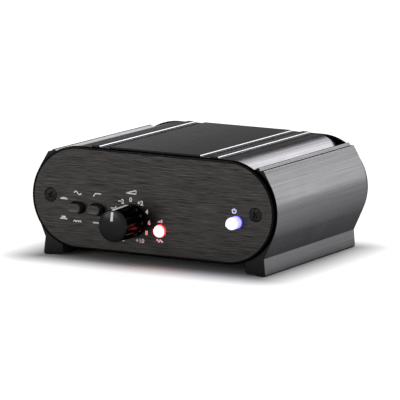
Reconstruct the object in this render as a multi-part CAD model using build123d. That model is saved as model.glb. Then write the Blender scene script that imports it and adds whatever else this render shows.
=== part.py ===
from build123d import *

import os
from math import cos, radians, sin, sqrt, tan

# Phono preamp in a case of two aluminium extrusions.
#
# Axes: X to the right as seen from the front, Y from the front panel to the back, Z up.
# While the pieces are built, y = 0 is the front end of the two shells and z = 0 is the
# middle line of the panels.  save() then puts the soles on z = 0 and centres the whole
# depth, from the knob's face to the tip of the ground stud, on y = 0.

# ---------------------------------------------------------------- case, millimetres
CASE_LENGTH = 84.4        # both shells are cut to this length
ARC_SPACING = 68.0        # between the centres of the panels' round ends
PANEL_RADIUS = 20.0       # round ends of a panel, which is twice this high
PANEL_THICKNESS = 1.2
PANEL_GAP = 0.1           # between a panel's edge and the bezel round it
RIM_WIDTH = 0.9           # bezel's rim round the panel
RIM_PROUD = 0.2           # rim beyond the panel's face
RIM_BEVEL = 0.25          # bevel of the rim's outer edge
WEB_THICKNESS = 0.8       # bezel's web between the panel and the shells
WEB_REACH = 1.2           # web inward beyond the wall of the shells
SHELL_WALL = 2.0          # bottom wall of the lower shell
TAB_WIDTH = 12.0          # bezel's locating tabs inside the shells
TAB_SPACING = 40.0
TAB_THICKNESS = 1.4
TAB_LENGTH = 4.0
TAB_GAP = 0.15

# lower shell
FLANK_PROUD = 0.5         # flank beyond the bezel at its widest
FLANK_RADIUS = 24.0
FLANK_LEAN_TOP = 30.0     # degrees, straight stretch above the arc
FLANK_LEAN_BOTTOM = 24.0  # degrees, straight stretch below the arc
WAIST_INSET = 2.3         # waist above the panel's lowest point
LEDGE_INSET = 2.4         # flat ledge outside the lip, below the panel's highest point
LEDGE_WIDTH = 2.1
LEDGE_ROUND = 0.7
LIP_RISE = 1.0            # lip above the ledge
LIP_SLOPE = 1.2           # run of the slope from the ledge to the lip
LIP_WIDTH = 3.0
SEAT_THICKNESS = 1.6      # shelf under the cover's edge
SOLE_BELOW = 5.0          # soles below the panel's lowest point
SOLE_WIDTH = 2.6
SOLE_BEVEL = 0.6
SOLE_STEP = 0.7           # arch of the foot above the sole
FOOT_WIDTH = 9.0
FOOT_FLARE = 0.7
FOOT_ROUND = 0.7
BOTTOM_RIDGE = 0.8        # height of the two ridges under the bottom
BOTTOM_RIDGE_WIDTH = 3.6
BOTTOM_RIDGE_SPACING = 46.6

# top cover
COVER_WALL = 1.9
GROOVE_DEPTH = 0.8
GROOVE_WIDTH = 4.3
RIDGE_WIDTH = 3.7
SHOULDER_FLAT = 4.2       # level strip between a ridge and the shoulder's curve
SHOULDER_INSET = 1.0      # start of the curve, inward from the panel's arc centre
SHOULDER_CENTRE = 8.9     # centre of the shoulder's curve above the middle line
COVER_EDGE_ANGLE = 22.0   # degrees above the horizontal, where the shoulder ends
COVER_GAP = 0.1           # between the shoulder and the lip over it

# panel screws and the ports that they go into
SCREW_INSET = 7.4         # from the panel's round end to the screw
SCREW_RADIUS = 1.5
SCREW_LENGTH = 9.0
SCREW_HEAD_RADIUS = 2.7
SCREW_SUNK = 0.25         # head below the panel's face
SCREW_GAP = 0.05
PORT_WALL = 1.45
PORT_WEB = 2.4
EAR_RADIUS = 3.8          # bezel's ears behind the panel's screws
CROSS_WIDTH = 0.6
CROSS_LENGTH = 2.9
CROSS_DEPTH = 0.9

# ------------------------------------------------------------------- circuit boards
BOARD_THICKNESS = 1.6
BOARD_LIFT = 4.8          # top of the main board above the case's floor
BOARD_SIDE_GAP = 0.35
BOARD_END_GAP = 0.2
SLOT_DEPTH = 1.6          # card slot in the side of the lower shell
SLOT_PLAY = 0.2
SLOT_RIB = 1.2
CONTROL_BOARD_RISE = 16.8 # its top above the main board
CONTROL_BOARD_INSET = 12.0  # from the panel's round end
CONTROL_BOARD_LIFT = 0.3  # above the main board
HEADER_WIDTH = 20.4
HEADER_SIZE = 2.5
LEAD_RADIUS = 0.25
LEAD_HOLE_RADIUS = 0.45
LEAD_TAIL = 1.0           # lead beyond the board's far face

# ----------------------------------------------------------------------- gain control
KNOB_X_FROM_CENTRE = -9.5
KNOB_AXIS = 6.8           # knob's axis above the main board
KNOB_LENGTH = 15.2
KNOB_STANDOFF = 0.8       # knob's back from the panel's face
KNOB_BASE_RADIUS = 7.0
KNOB_SIDE_RADIUS = 6.55   # at the front end of the ribbed side
KNOB_FACE_RADIUS = 5.7
KNOB_BEVEL = 1.3
KNOB_FLUTES = 14
FLUTE_RADIUS = 0.75
FLUTE_DEPTH = 0.4
KNOB_SKIRT = 1.6          # plain band behind the flutes
KNOB_HOLLOW_RADIUS = 6.1
KNOB_FACE_WALL = 2.3
POINTER_WIDTH = 0.9
POINTER_DEPTH = 0.4
POINTER_PROUD = 0.04
POINTER_INNER = 2.7       # from the knob's axis to the inner end on the face
POINTER_END = 2.2         # pointer's rear end from the knob's back
SHAFT_RADIUS = 3.0
SHAFT_FLAT = 1.5
SHAFT_FLAT_LENGTH = 9.0
SHAFT_GAP = 0.05
SHAFT_IN_BODY = 4.0
BUSH_RADIUS = 3.5
BUSH_LENGTH = 4.7
BUSH_GAP = 0.1
KNOB_BUSH_CLEARANCE = 0.4
POT_WIDTH = 12.0
POT_BELOW_AXIS = 6.2
POT_DEPTH = 9.5           # also sets the control board behind the panel
WASHER_RADIUS = 5.2
WASHER_THICKNESS = 0.4
NUT_ACROSS_FLATS = 10.0
NUT_THICKNESS = 1.8

# ----------------------------------------------------------------------- push buttons
BUTTON_INSET = 12.7       # first front button from the screw beside it
SWITCH_SIZE = 8.5         # switch bodies are square
SWITCH_SPACE = 0.5        # between two switch bodies
BUTTON_AXIS = 10.1        # above the main board
BUTTON_WIDTH = 6.2
BUTTON_HEIGHT = 3.9
BUTTON_PROUD = 3.7
BUTTON_BEVEL = 0.3
BUTTON_HOLE_GAP = 0.6
BUTTON_TRAVEL = 2.0
BUTTON_INSIDE = 0.9       # released button behind the panel's inner face
BUTTON_STOP_GAP = 0.3     # between the pressed button and its switch body
PLUNGER_SIZE = 3.2
PLUNGER_IN_BUTTON = 4.0
PLUNGER_IN_BODY = 2.8
PLUNGER_GAP = 0.2
REAR_BUTTON_PROUD = 3.0
REAR_SWITCH_DEPTH = 9.4

# -------------------------------------------------------------------------- lights
LED_RADIUS = 2.5
LED_LENGTH = 8.6
LED_FLANGE_RADIUS = 2.9
LED_FLANGE = 1.0
LED_HOLE_GAP = 0.1
LED_LEAD_PITCH = 2.54
POWER_LED_INSET = 8.3     # from the screw beside it
POWER_LED_AXIS = 10.6     # above the main board
CLIP_LED_FROM_KNOB = 13.5
CLIP_LED_AXIS = 3.9       # above the main board
CLIP_LED_PROUD = 2.6

# -------------------------------------------------------------------- rear connectors
SOCKET_AXIS = 9.2         # above the main board
SOCKET_PITCH = 14.0       # between the two channels
SOCKET_BLOCK_WIDTH = 25.0
SOCKET_BLOCK_HEIGHT = 15.0
SOCKET_BLOCK_DEPTH = 12.0
SOCKET_COLLAR_RADIUS = 5.2
SOCKET_COLLAR_PROUD = 0.4
SOCKET_HOLE_GAP = 0.25
SOCKET_RADIUS = 4.15
SOCKET_WALL = 0.5
SOCKET_PROUD = 8.6
SOCKET_IN_BLOCK = 7.0     # insulator inside the block, behind its front face
SOCKET_FIT = 0.03
INSULATOR_SUNK = 0.4
CONTACT_RADIUS = 1.65
CONTACT_WALL = 0.45
CONTACT_SUNK = 2.0
CONTACT_LENGTH = 12.0
MOUTH_RADIUS = 1.85
INPUT_SHARE = -29.5 / 46.6    # places in the rear row, as shares of the way
OUTPUT_SHARE = 17.5 / 46.6    # from the middle to a panel screw
INLET_SHARE = 37.5 / 46.6
REAR_BUTTON_SHARE = -1.5 / 46.6
GROUND_SHARE = -10.8 / 46.6
INLET_WIDTH = 9.2
INLET_HEIGHT = 11.5
INLET_DEPTH = 14.0
INLET_AXIS = 6.5          # above the main board
INLET_COLLAR_RADIUS = 4.4
INLET_BORE_RADIUS = 3.15
INLET_BORE_DEPTH = 9.0
INLET_PIN_RADIUS = 1.05
INLET_PIN_SUNK = 1.0
GROUND_AXIS = 9.2         # above the main board
STUD_RADIUS = 2.0
STUD_PROUD = 10.5
STUD_HEAD_RADIUS = 3.4
STUD_HEAD = 1.6
STUD_INNER_NUT_FLATS = 7.0
STUD_INNER_NUT = 3.2
STUD_GAP = 0.08
STUD_POINT_RADIUS = 1.6   # plain end beyond the thread
STUD_POINT = 3.0
CLAMP_WASHER_RADIUS = 4.3
CLAMP_WASHER = 0.8
THUMB_NUT_RADIUS = 4.75
THUMB_NUT = 5.2
THUMB_NUT_TEETH = 24
THUMB_TOOTH_DEPTH = 0.3
THUMB_NUT_NECK = 1.0

# ---------------------------------------------------------- values that follow from them
ARC_X = ARC_SPACING / 2
OUTER_RADIUS = PANEL_RADIUS + PANEL_GAP + RIM_WIDTH
CAVITY_RADIUS = OUTER_RADIUS - SHELL_WALL
WINDOW_RADIUS = CAVITY_RADIUS - WEB_REACH
PANEL_BACK = WEB_THICKNESS
PANEL_FACE = PANEL_BACK + PANEL_THICKNESS
RIM_FACE = PANEL_FACE + RIM_PROUD

SHOULDER_X = ARC_X - SHOULDER_INSET
COVER_FLOOR = CAVITY_RADIUS + COVER_WALL
DECK_HEIGHT = COVER_FLOOR + GROOVE_DEPTH
SHOULDER_RADIUS = COVER_FLOOR - SHOULDER_CENTRE
SHOULDER_Z = SHOULDER_CENTRE
RIDGE_OUTER = SHOULDER_X - SHOULDER_FLAT
RIDGE_INNER = RIDGE_OUTER - RIDGE_WIDTH
DECK_EDGE = RIDGE_INNER - GROOVE_WIDTH

FLANK_X = ARC_X + OUTER_RADIUS + FLANK_PROUD - FLANK_RADIUS
WAIST_DROP = PANEL_RADIUS - WAIST_INSET
LEDGE_HEIGHT = PANEL_RADIUS - LEDGE_INSET
SOLE_DROP = PANEL_RADIUS + SOLE_BELOW

SCREW_X = ARC_X + PANEL_RADIUS - SCREW_INSET
PORT_RADIUS = SCREW_RADIUS + SCREW_GAP
REAR_PANEL_BACK = CASE_LENGTH + PANEL_BACK    # inner face of the rear panel
REAR_PANEL_FACE = CASE_LENGTH + PANEL_FACE

BOARD_TOP = BOARD_LIFT - CAVITY_RADIUS
BOARD_BOTTOM = BOARD_TOP - BOARD_THICKNESS
CONTROL_BOARD_FRONT = POT_DEPTH - PANEL_BACK
CONTROL_BOARD_BACK = CONTROL_BOARD_FRONT + BOARD_THICKNESS

KNOB_X = KNOB_X_FROM_CENTRE
KNOB_Z = BOARD_TOP + KNOB_AXIS
KNOB_BACK = -PANEL_FACE - KNOB_STANDOFF
KNOB_FRONT = KNOB_BACK - KNOB_LENGTH
BUSH_TIP = -PANEL_BACK - BUSH_LENGTH
KNOB_HOLLOW_END = BUSH_TIP - KNOB_BUSH_CLEARANCE
SHAFT_TIP = KNOB_FRONT + KNOB_FACE_WALL + SHAFT_GAP
SHAFT_END = SHAFT_IN_BODY - PANEL_BACK

BUTTON_PITCH = SWITCH_SIZE + SWITCH_SPACE
INPUT_TYPE_X = -SCREW_X + BUTTON_INSET
FILTER_X = INPUT_TYPE_X + BUTTON_PITCH
BUTTON_Z = BOARD_TOP + BUTTON_AXIS
SWITCH_SETBACK = BUTTON_INSIDE + BUTTON_TRAVEL + BUTTON_STOP_GAP   # from the panel's inner face
SWITCH_FRONT = SWITCH_SETBACK - PANEL_BACK

CLIP_LED_X = KNOB_X + CLIP_LED_FROM_KNOB
CLIP_LED_Z = BOARD_TOP + CLIP_LED_AXIS
POWER_LED_X = SCREW_X - POWER_LED_INSET
POWER_LED_Z = BOARD_TOP + POWER_LED_AXIS
POWER_LED_TIP = -PANEL_BACK + LED_FLANGE - LED_LENGTH
CLIP_LED_TIP = -PANEL_FACE - CLIP_LED_PROUD

SOCKET_Z = BOARD_TOP + SOCKET_AXIS
SOCKET_TIP = REAR_PANEL_FACE + SOCKET_PROUD
SOCKET_BORE_RADIUS = SOCKET_RADIUS - SOCKET_WALL
COLLAR_END = REAR_PANEL_FACE + SOCKET_COLLAR_PROUD
INPUT_X = INPUT_SHARE * SCREW_X
OUTPUT_X = OUTPUT_SHARE * SCREW_X
INLET_X = INLET_SHARE * SCREW_X
INLET_Z = BOARD_TOP + INLET_AXIS
INLET_BORE_END = REAR_PANEL_FACE - INLET_BORE_DEPTH
REAR_BUTTON_X = REAR_BUTTON_SHARE * SCREW_X
REAR_BUTTON_Z = BOARD_TOP + SWITCH_SIZE / 2
GROUND_X = GROUND_SHARE * SCREW_X
GROUND_Z = BOARD_TOP + GROUND_AXIS
STUD_TIP = REAR_PANEL_FACE + STUD_PROUD

Y_MIDDLE = (KNOB_FRONT - POINTER_PROUD + STUD_TIP) / 2


# -------------------------------------------------------------------- shared shapes
def save(name, *shapes):
    """Write one node, moved so that the soles rest on z = 0 and the depth is centred."""
    solids = [solid for shape in shapes for solid in shape.solids()]
    moved = [Pos(0, -Y_MIDDLE, SOLE_DROP) * solid for solid in solids]
    node = moved[0] if len(moved) == 1 else Compound(children=moved)
    export_step(node, f"parts/{name}.step")


def slab(face, front, back):
    """Solid of a face drawn in X and Z, from y = front to y = back."""
    return extrude(Plane.XZ.offset(-front) * face, amount=front - back)


def rod(x, z, radius, front, back):
    """Round bar along Y."""
    return slab(Pos(x, z) * Circle(radius), front, back)


def tube(x, z, outer, inner, front, back):
    """Round tube along Y."""
    return slab(Pos(x, z) * (Circle(outer) - Circle(inner)), front, back)


def block(x, z, width, height, front, back):
    """Square-edged bar along Y, centred on x and z."""
    return slab(Pos(x, z) * Rectangle(width, height), front, back)


def stadium(radius):
    """Panel-shaped face: two half circles about the arc centres, and straight sides."""
    return SlotCenterToCenter(ARC_SPACING, 2 * radius)


def both_sides(half_outline):
    """Face inside a half outline, which starts and ends on x = 0, and its mirror image."""
    outline = Curve() + half_outline
    return make_face(outline + mirror(outline, about=Plane.YZ))


def at_rear(piece):
    """The same piece at the other end of the case."""
    return mirror(piece, about=Plane.XZ.offset(-CASE_LENGTH / 2))


def shoulder_point(radius, angle):
    """Point about the centre of the cover's shoulder, angle in degrees."""
    return (SHOULDER_X + radius * cos(radians(angle)), SHOULDER_Z + radius * sin(radians(angle)))


def cavity_x(height):
    """Half the inner width of the case at a height."""
    return ARC_X + sqrt(CAVITY_RADIUS**2 - height**2)


def shoulder_arc(radius, first, last):
    """Arc about the centre of the cover's shoulder between two angles."""
    return CenterArc((SHOULDER_X, SHOULDER_Z), radius, first, last - first)


# --------------------------------------------------------------------------- the case
def flank_end(lean, height):
    """Where the flank's arc ends, and where its straight stretch reaches a height."""
    side = 1 if height > 0 else -1
    arc_x = FLANK_X + FLANK_RADIUS * cos(radians(lean))
    arc_z = side * FLANK_RADIUS * sin(radians(lean))
    end_x = arc_x - abs(height - arc_z) * tan(radians(lean))
    return (arc_x, arc_z), (end_x, height)


def lower_shell_outline():
    """Right half of the lower shell's section, from the bottom outside to the inside."""
    top_arc, top_corner = flank_end(FLANK_LEAN_TOP, LEDGE_HEIGHT)
    low_arc, waist = flank_end(FLANK_LEAN_BOTTOM, -WAIST_DROP)
    ridge_in = (BOTTOM_RIDGE_SPACING - BOTTOM_RIDGE_WIDTH) / 2
    ridge_out = ridge_in + BOTTOM_RIDGE_WIDTH
    foot_out = waist[0] + FOOT_FLARE
    foot_in = foot_out - FOOT_WIDTH
    foot_top = -sqrt(OUTER_RADIUS**2 - (foot_in - ARC_X) ** 2)
    arch = -SOLE_DROP + SOLE_STEP
    sole_out = foot_out - SOLE_BEVEL
    sole_in = sole_out - SOLE_WIDTH
    ledge_in = top_corner[0] - LEDGE_WIDTH
    lip_out = ledge_in - LIP_SLOPE
    lip_in = lip_out - LIP_WIDTH
    lip_top = LEDGE_HEIGHT + LIP_RISE
    seat_radius = SHOULDER_RADIUS + COVER_GAP
    lip_low = (lip_in, SHOULDER_Z + sqrt(seat_radius**2 - (lip_in - SHOULDER_X) ** 2))
    seat_out = shoulder_point(seat_radius, COVER_EDGE_ANGLE)
    seat_in = shoulder_point(SHOULDER_RADIUS - COVER_WALL, COVER_EDGE_ANGLE)
    seat_low = seat_in[1] - SEAT_THICKNESS
    seat_wall = (cavity_x(seat_low), seat_low)

    bottom = Polyline(
        (0, -OUTER_RADIUS),
        (ridge_in, -OUTER_RADIUS),
        (ridge_in, -OUTER_RADIUS - BOTTOM_RIDGE),
        (ridge_out, -OUTER_RADIUS - BOTTOM_RIDGE),
        (ridge_out, -OUTER_RADIUS),
        (ARC_X, -OUTER_RADIUS),
    )
    to_foot = RadiusArc(bottom @ 1, (foot_in, foot_top), -OUTER_RADIUS)
    foot = Polyline(
        (foot_in, foot_top),
        (foot_in, arch + FOOT_ROUND),
        (foot_in + FOOT_ROUND, arch),
        (sole_in - SOLE_STEP, arch),
        (sole_in, -SOLE_DROP),
        (sole_out, -SOLE_DROP),
        (foot_out, -SOLE_DROP + SOLE_BEVEL),
        waist,
        low_arc,
    )
    flank = CenterArc((FLANK_X, 0), FLANK_RADIUS, -FLANK_LEAN_BOTTOM, FLANK_LEAN_BOTTOM + FLANK_LEAN_TOP)
    corner = FilletPolyline(top_arc, top_corner, (ledge_in, LEDGE_HEIGHT), radius=LEDGE_ROUND)
    lip = Polyline((ledge_in, LEDGE_HEIGHT), (lip_out, lip_top), (lip_in, lip_top), lip_low)
    under_lip = RadiusArc(lip_low, seat_out, seat_radius)
    seat = Polyline(seat_out, seat_in, (seat_in[0], seat_low), seat_wall)
    side = RadiusArc(seat_wall, (ARC_X, -CAVITY_RADIUS), CAVITY_RADIUS, short_sagitta=True)
    floor = Line((ARC_X, -CAVITY_RADIUS), (0, -CAVITY_RADIUS))
    return [bottom, to_foot, foot, flank, corner, lip, under_lip, seat, side, floor]


def card_slot(side):
    """Shelf and rib that hold one edge of the main board."""
    edge = cavity_x(BOARD_BOTTOM) - BOARD_SIDE_GAP
    inner = edge - SLOT_DEPTH
    outer = cavity_x(BOARD_TOP) + SHELL_WALL / 2
    shelf = Polyline(
        (side * inner, BOARD_BOTTOM),
        (side * outer, BOARD_BOTTOM),
        (side * outer, BOARD_BOTTOM - SLOT_RIB),
        (side * inner, BOARD_BOTTOM - SLOT_RIB),
        close=True,
    )
    rib_z = BOARD_TOP + SLOT_PLAY + SLOT_RIB / 2
    rib = Pos(side * (inner + outer) / 2, rib_z) * Rectangle(outer - inner, SLOT_RIB)
    return make_face(shelf) + rib


def screw_port(side):
    """Round port for a panel screw, on a web from the side wall."""
    wall_x = ARC_X + CAVITY_RADIUS + SHELL_WALL / 2
    web = Pos(side * (SCREW_X + wall_x) / 2, 0) * Rectangle(wall_x - SCREW_X, PORT_WEB)
    return web + Pos(side * SCREW_X, 0) * Circle(PORT_RADIUS + PORT_WALL)


def lower_shell():
    """Bottom, flanks, feet and lips in one extrusion, with card slots and screw ports."""
    section = both_sides(lower_shell_outline())
    for side in (-1, 1):
        section += card_slot(side)
        section += screw_port(side)
    for side in (-1, 1):
        section -= Pos(side * SCREW_X, 0) * Circle(PORT_RADIUS)
    return slab(section, 0, CASE_LENGTH)


def top_cover():
    """Deck, grooves, ridges and shoulders; its edges slide in under the lips."""
    inner_radius = SHOULDER_RADIUS - COVER_WALL
    deck = Polyline(
        (0, DECK_HEIGHT),
        (DECK_EDGE, DECK_HEIGHT),
        (DECK_EDGE, COVER_FLOOR),
        (RIDGE_INNER, COVER_FLOOR),
        (RIDGE_INNER, DECK_HEIGHT),
        (RIDGE_OUTER, DECK_HEIGHT),
        (RIDGE_OUTER, COVER_FLOOR),
        (SHOULDER_X, COVER_FLOOR),
    )
    outside = shoulder_arc(SHOULDER_RADIUS, COVER_EDGE_ANGLE, 90)
    edge = Line(
        shoulder_point(SHOULDER_RADIUS, COVER_EDGE_ANGLE),
        shoulder_point(inner_radius, COVER_EDGE_ANGLE),
    )
    inside = shoulder_arc(inner_radius, COVER_EDGE_ANGLE, 90)
    ceiling = Line((SHOULDER_X, CAVITY_RADIUS), (0, CAVITY_RADIUS))
    return slab(both_sides([deck, outside, edge, inside, ceiling]), 0, CASE_LENGTH)


def bezel():
    """Front ring with a rim round the panel, ears for its screws and locating tabs."""
    ring = slab(stadium(OUTER_RADIUS), -RIM_FACE, 0)
    ring = chamfer(ring.faces().sort_by(Axis.Y)[0].edges(), RIM_BEVEL)
    ring -= slab(stadium(PANEL_RADIUS + PANEL_GAP), -RIM_FACE, -PANEL_BACK)
    ring -= slab(stadium(WINDOW_RADIUS), -PANEL_BACK, 0)
    ear_reach = ARC_X + WINDOW_RADIUS + WEB_REACH / 2 - SCREW_X
    for side in (-1, 1):
        ear = Pos(side * SCREW_X, 0) * Circle(EAR_RADIUS)
        ear += Pos(side * (SCREW_X + ear_reach / 2), 0) * Rectangle(ear_reach, 2 * EAR_RADIUS)
        ear -= Pos(side * SCREW_X, 0) * Circle(SCREW_RADIUS + PORT_WALL / 2)
        ring += slab(ear, -PANEL_BACK, 0)
    tab_z = CAVITY_RADIUS - TAB_GAP - TAB_THICKNESS / 2
    for x in (-TAB_SPACING / 2, TAB_SPACING / 2):
        for z in (-tab_z, tab_z):
            ring += block(x, z, TAB_WIDTH, TAB_THICKNESS, -PANEL_BACK, TAB_LENGTH)
    return ring


def blank_panel():
    """Front panel plate with its two countersunk screw holes."""
    panel = slab(stadium(PANEL_RADIUS), -PANEL_FACE, -PANEL_BACK)
    wide = SCREW_HEAD_RADIUS + SCREW_SUNK + SCREW_GAP
    for side in (-1, 1):
        sink = Plane.XZ.offset(PANEL_BACK) * Pos(side * SCREW_X, 0) * Cone(
            wide - PANEL_THICKNESS, wide, PANEL_THICKNESS, align=(Align.CENTER, Align.CENTER, Align.MIN)
        )
        panel -= sink
    return panel


def front_panel():
    """Front panel with the holes for buttons, gain control and lights."""
    panel = blank_panel()
    hole = SlotOverall(BUTTON_WIDTH + 2 * BUTTON_HOLE_GAP, BUTTON_HEIGHT + 2 * BUTTON_HOLE_GAP)
    cuts = [Pos(x, BUTTON_Z) * hole for x in (INPUT_TYPE_X, FILTER_X)]
    cuts.append(Pos(KNOB_X, KNOB_Z) * Circle(BUSH_RADIUS + BUSH_GAP))
    for x, z in ((CLIP_LED_X, CLIP_LED_Z), (POWER_LED_X, POWER_LED_Z)):
        cuts.append(Pos(x, z) * Circle(LED_RADIUS + LED_HOLE_GAP))
    for cut in cuts:
        panel -= slab(cut, -PANEL_FACE, -PANEL_BACK)
    return panel


def socket_places(middle):
    """The x of both sockets of a block."""
    return (middle - SOCKET_PITCH / 2, middle + SOCKET_PITCH / 2)


def rear_panel():
    """Rear panel with the holes for sockets, inlet, button and ground stud."""
    panel = at_rear(blank_panel())
    cuts = [
        Pos(x, SOCKET_Z) * Circle(SOCKET_COLLAR_RADIUS + SOCKET_HOLE_GAP)
        for x in (*socket_places(INPUT_X), *socket_places(OUTPUT_X))
    ]
    cuts.append(Pos(INLET_X, INLET_Z) * Circle(INLET_COLLAR_RADIUS + SOCKET_HOLE_GAP))
    cuts.append(Pos(GROUND_X, GROUND_Z) * Circle(STUD_RADIUS + STUD_GAP))
    hole = SlotOverall(BUTTON_WIDTH + 2 * BUTTON_HOLE_GAP, BUTTON_HEIGHT + 2 * BUTTON_HOLE_GAP)
    cuts.append(Pos(REAR_BUTTON_X, REAR_BUTTON_Z) * hole)
    for cut in cuts:
        panel -= slab(cut, REAR_PANEL_BACK, REAR_PANEL_FACE)
    return panel


def panel_screw(side):
    """Countersunk cross-head screw through the front panel into the shell's port."""
    head_face = -PANEL_FACE + SCREW_SUNK
    head_height = SCREW_HEAD_RADIUS - SCREW_RADIUS
    half_section = Polyline(
        (0, 0),
        (SCREW_HEAD_RADIUS, 0),
        (SCREW_RADIUS, head_height),
        (SCREW_RADIUS, SCREW_LENGTH),
        (0, SCREW_LENGTH),
        close=True,
    )
    screw = revolve(make_face(half_section), Axis.Y)
    for width, height in ((CROSS_LENGTH, CROSS_WIDTH), (CROSS_WIDTH, CROSS_LENGTH)):
        screw -= block(0, 0, width, height, 0, CROSS_DEPTH)
    return Pos(side * SCREW_X, head_face, 0) * screw


# -------------------------------------------------------------------- circuit boards
def main_board():
    """Board that slides in the card slots of the lower shell, between the bezels."""
    half_width = cavity_x(BOARD_BOTTOM) - BOARD_SIDE_GAP
    middle = (BOARD_TOP + BOARD_BOTTOM) / 2
    return block(0, middle, 2 * half_width, BOARD_THICKNESS, BOARD_END_GAP, CASE_LENGTH - BOARD_END_GAP)


def led_leads(x):
    """The x of both leads of a light."""
    return (x - LED_LEAD_PITCH / 2, x + LED_LEAD_PITCH / 2)


def control_board():
    """Upright board behind the front panel that carries switches, control and lights."""
    half_width = ARC_X + PANEL_RADIUS - CONTROL_BOARD_INSET
    low = BOARD_TOP + CONTROL_BOARD_LIFT
    height = BOARD_TOP + CONTROL_BOARD_RISE - low
    board = block(0, low + height / 2, 2 * half_width, height, CONTROL_BOARD_FRONT, CONTROL_BOARD_BACK)
    for x, z in ((CLIP_LED_X, CLIP_LED_Z), (POWER_LED_X, POWER_LED_Z)):
        for lead_x in led_leads(x):
            board -= rod(lead_x, z, LEAD_HOLE_RADIUS, CONTROL_BOARD_FRONT, CONTROL_BOARD_BACK)
    return board


def board_header():
    """Right-angle header in the corner between the two boards."""
    body_z = BOARD_TOP + HEADER_SIZE / 2
    back = CONTROL_BOARD_BACK + HEADER_SIZE
    return block(0, body_z, HEADER_WIDTH, HEADER_SIZE, CONTROL_BOARD_BACK, back)


# ----------------------------------------------------------------------- gain control
def pot_body():
    """Twin potentiometer: square below the axis and round above, open for the shaft."""
    outline = Pos(KNOB_X, KNOB_Z) * Circle(POT_WIDTH / 2)
    outline += Pos(KNOB_X, KNOB_Z - POT_BELOW_AXIS / 2) * Rectangle(POT_WIDTH, POT_BELOW_AXIS)
    body = slab(outline, -PANEL_BACK, CONTROL_BOARD_FRONT)
    return body - rod(KNOB_X, KNOB_Z, SHAFT_RADIUS + SHAFT_GAP, -PANEL_BACK, SHAFT_END + SHAFT_GAP)


def pot_shaft():
    """Shaft with a flat on its front stretch."""
    shaft = rod(KNOB_X, KNOB_Z, SHAFT_RADIUS, SHAFT_TIP, SHAFT_END)
    flat_z = KNOB_Z + SHAFT_RADIUS - SHAFT_FLAT / 2
    flat_end = SHAFT_TIP + SHAFT_FLAT_LENGTH
    return shaft - block(KNOB_X, flat_z, 2 * SHAFT_RADIUS, SHAFT_FLAT, SHAFT_TIP, flat_end)


def pot_nut():
    """Hexagon nut that clamps the potentiometer to the front panel."""
    front = -PANEL_FACE - WASHER_THICKNESS - NUT_THICKNESS
    hexagon = RegularPolygon(NUT_ACROSS_FLATS / 2, 6, major_radius=False)
    ring = Pos(KNOB_X, KNOB_Z) * (hexagon - Circle(BUSH_RADIUS + SCREW_GAP))
    return slab(ring, front, front + NUT_THICKNESS)


def knob_profile():
    """Half section of the knob's outside: radius, and distance in front of its back."""
    return [
        (KNOB_BASE_RADIUS, 0),
        (KNOB_SIDE_RADIUS, KNOB_LENGTH - KNOB_BEVEL),
        (KNOB_FACE_RADIUS, KNOB_LENGTH),
    ]


def flute():
    """Cutter for one flute, leaning with the knob's tapered side."""
    rise = KNOB_LENGTH - KNOB_BEVEL
    lean = (KNOB_BASE_RADIUS - KNOB_SIDE_RADIUS) / rise
    first_radius = KNOB_BASE_RADIUS - KNOB_SKIRT * lean + FLUTE_RADIUS - FLUTE_DEPTH
    last_radius = KNOB_SIDE_RADIUS + FLUTE_RADIUS - FLUTE_DEPTH - KNOB_BEVEL * lean
    path = Line((0, -KNOB_SKIRT, first_radius), (0, -KNOB_LENGTH - FLUTE_DEPTH, last_radius))
    return sweep(Plane(path @ 0, z_dir=path % 0) * Circle(FLUTE_RADIUS), path)


def pointer_strip(depth, proud, side_gap):
    """Strip over the knob's face and down its top side."""
    base, shoulder, face = knob_profile()
    lean = (base[0] - shoulder[0]) / shoulder[1]
    tail = base[0] - POINTER_END * lean
    strip = Polyline(
        (-face[1] - proud, POINTER_INNER),
        (-face[1] - proud, face[0]),
        (-shoulder[1], shoulder[0] + proud),
        (-POINTER_END, tail + proud),
        (-POINTER_END, tail - depth),
        (-shoulder[1] + depth, shoulder[0] - depth),
        (-face[1] + depth, face[0] - depth),
        (-face[1] + depth, POINTER_INNER),
        close=True,
    )
    return extrude(Plane.YZ * make_face(strip), amount=POINTER_WIDTH / 2 + side_gap, both=True)


def gain_knob():
    """Ribbed knob, hollow behind for the nut, with a D-shaped bore and a pointer slot."""
    base, shoulder, face = knob_profile()
    outside = [(radius, -forward) for radius, forward in (base, shoulder, face)]
    section = Polyline((0, 0), *outside, (0, -face[1]), close=True)
    knob = revolve(make_face(section), Axis.Y)
    for turn in range(KNOB_FLUTES):
        knob -= Rot(0, (turn + 0.5) * 360 / KNOB_FLUTES, 0) * flute()
    hollow_end = KNOB_HOLLOW_END - KNOB_BACK
    knob -= rod(0, 0, KNOB_HOLLOW_RADIUS, hollow_end, 0)
    bore = rod(0, 0, SHAFT_RADIUS + SHAFT_GAP, SHAFT_TIP - SHAFT_GAP - KNOB_BACK, hollow_end)
    flat_end = SHAFT_TIP + SHAFT_FLAT_LENGTH - SHAFT_GAP - KNOB_BACK
    flat_z = SHAFT_RADIUS + SHAFT_GAP - SHAFT_FLAT / 2
    flat = block(0, flat_z, 2 * SHAFT_RADIUS + 1, SHAFT_FLAT, SHAFT_TIP - 1 - KNOB_BACK, flat_end)
    knob -= bore - flat
    knob -= pointer_strip(POINTER_DEPTH, 1, 0)
    return Pos(KNOB_X, KNOB_BACK, KNOB_Z) * knob


def knob_pointer():
    """White pointer laid in the knob's slot."""
    return Pos(KNOB_X, KNOB_BACK, KNOB_Z) * pointer_strip(POINTER_DEPTH, POINTER_PROUD, 0)


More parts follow.
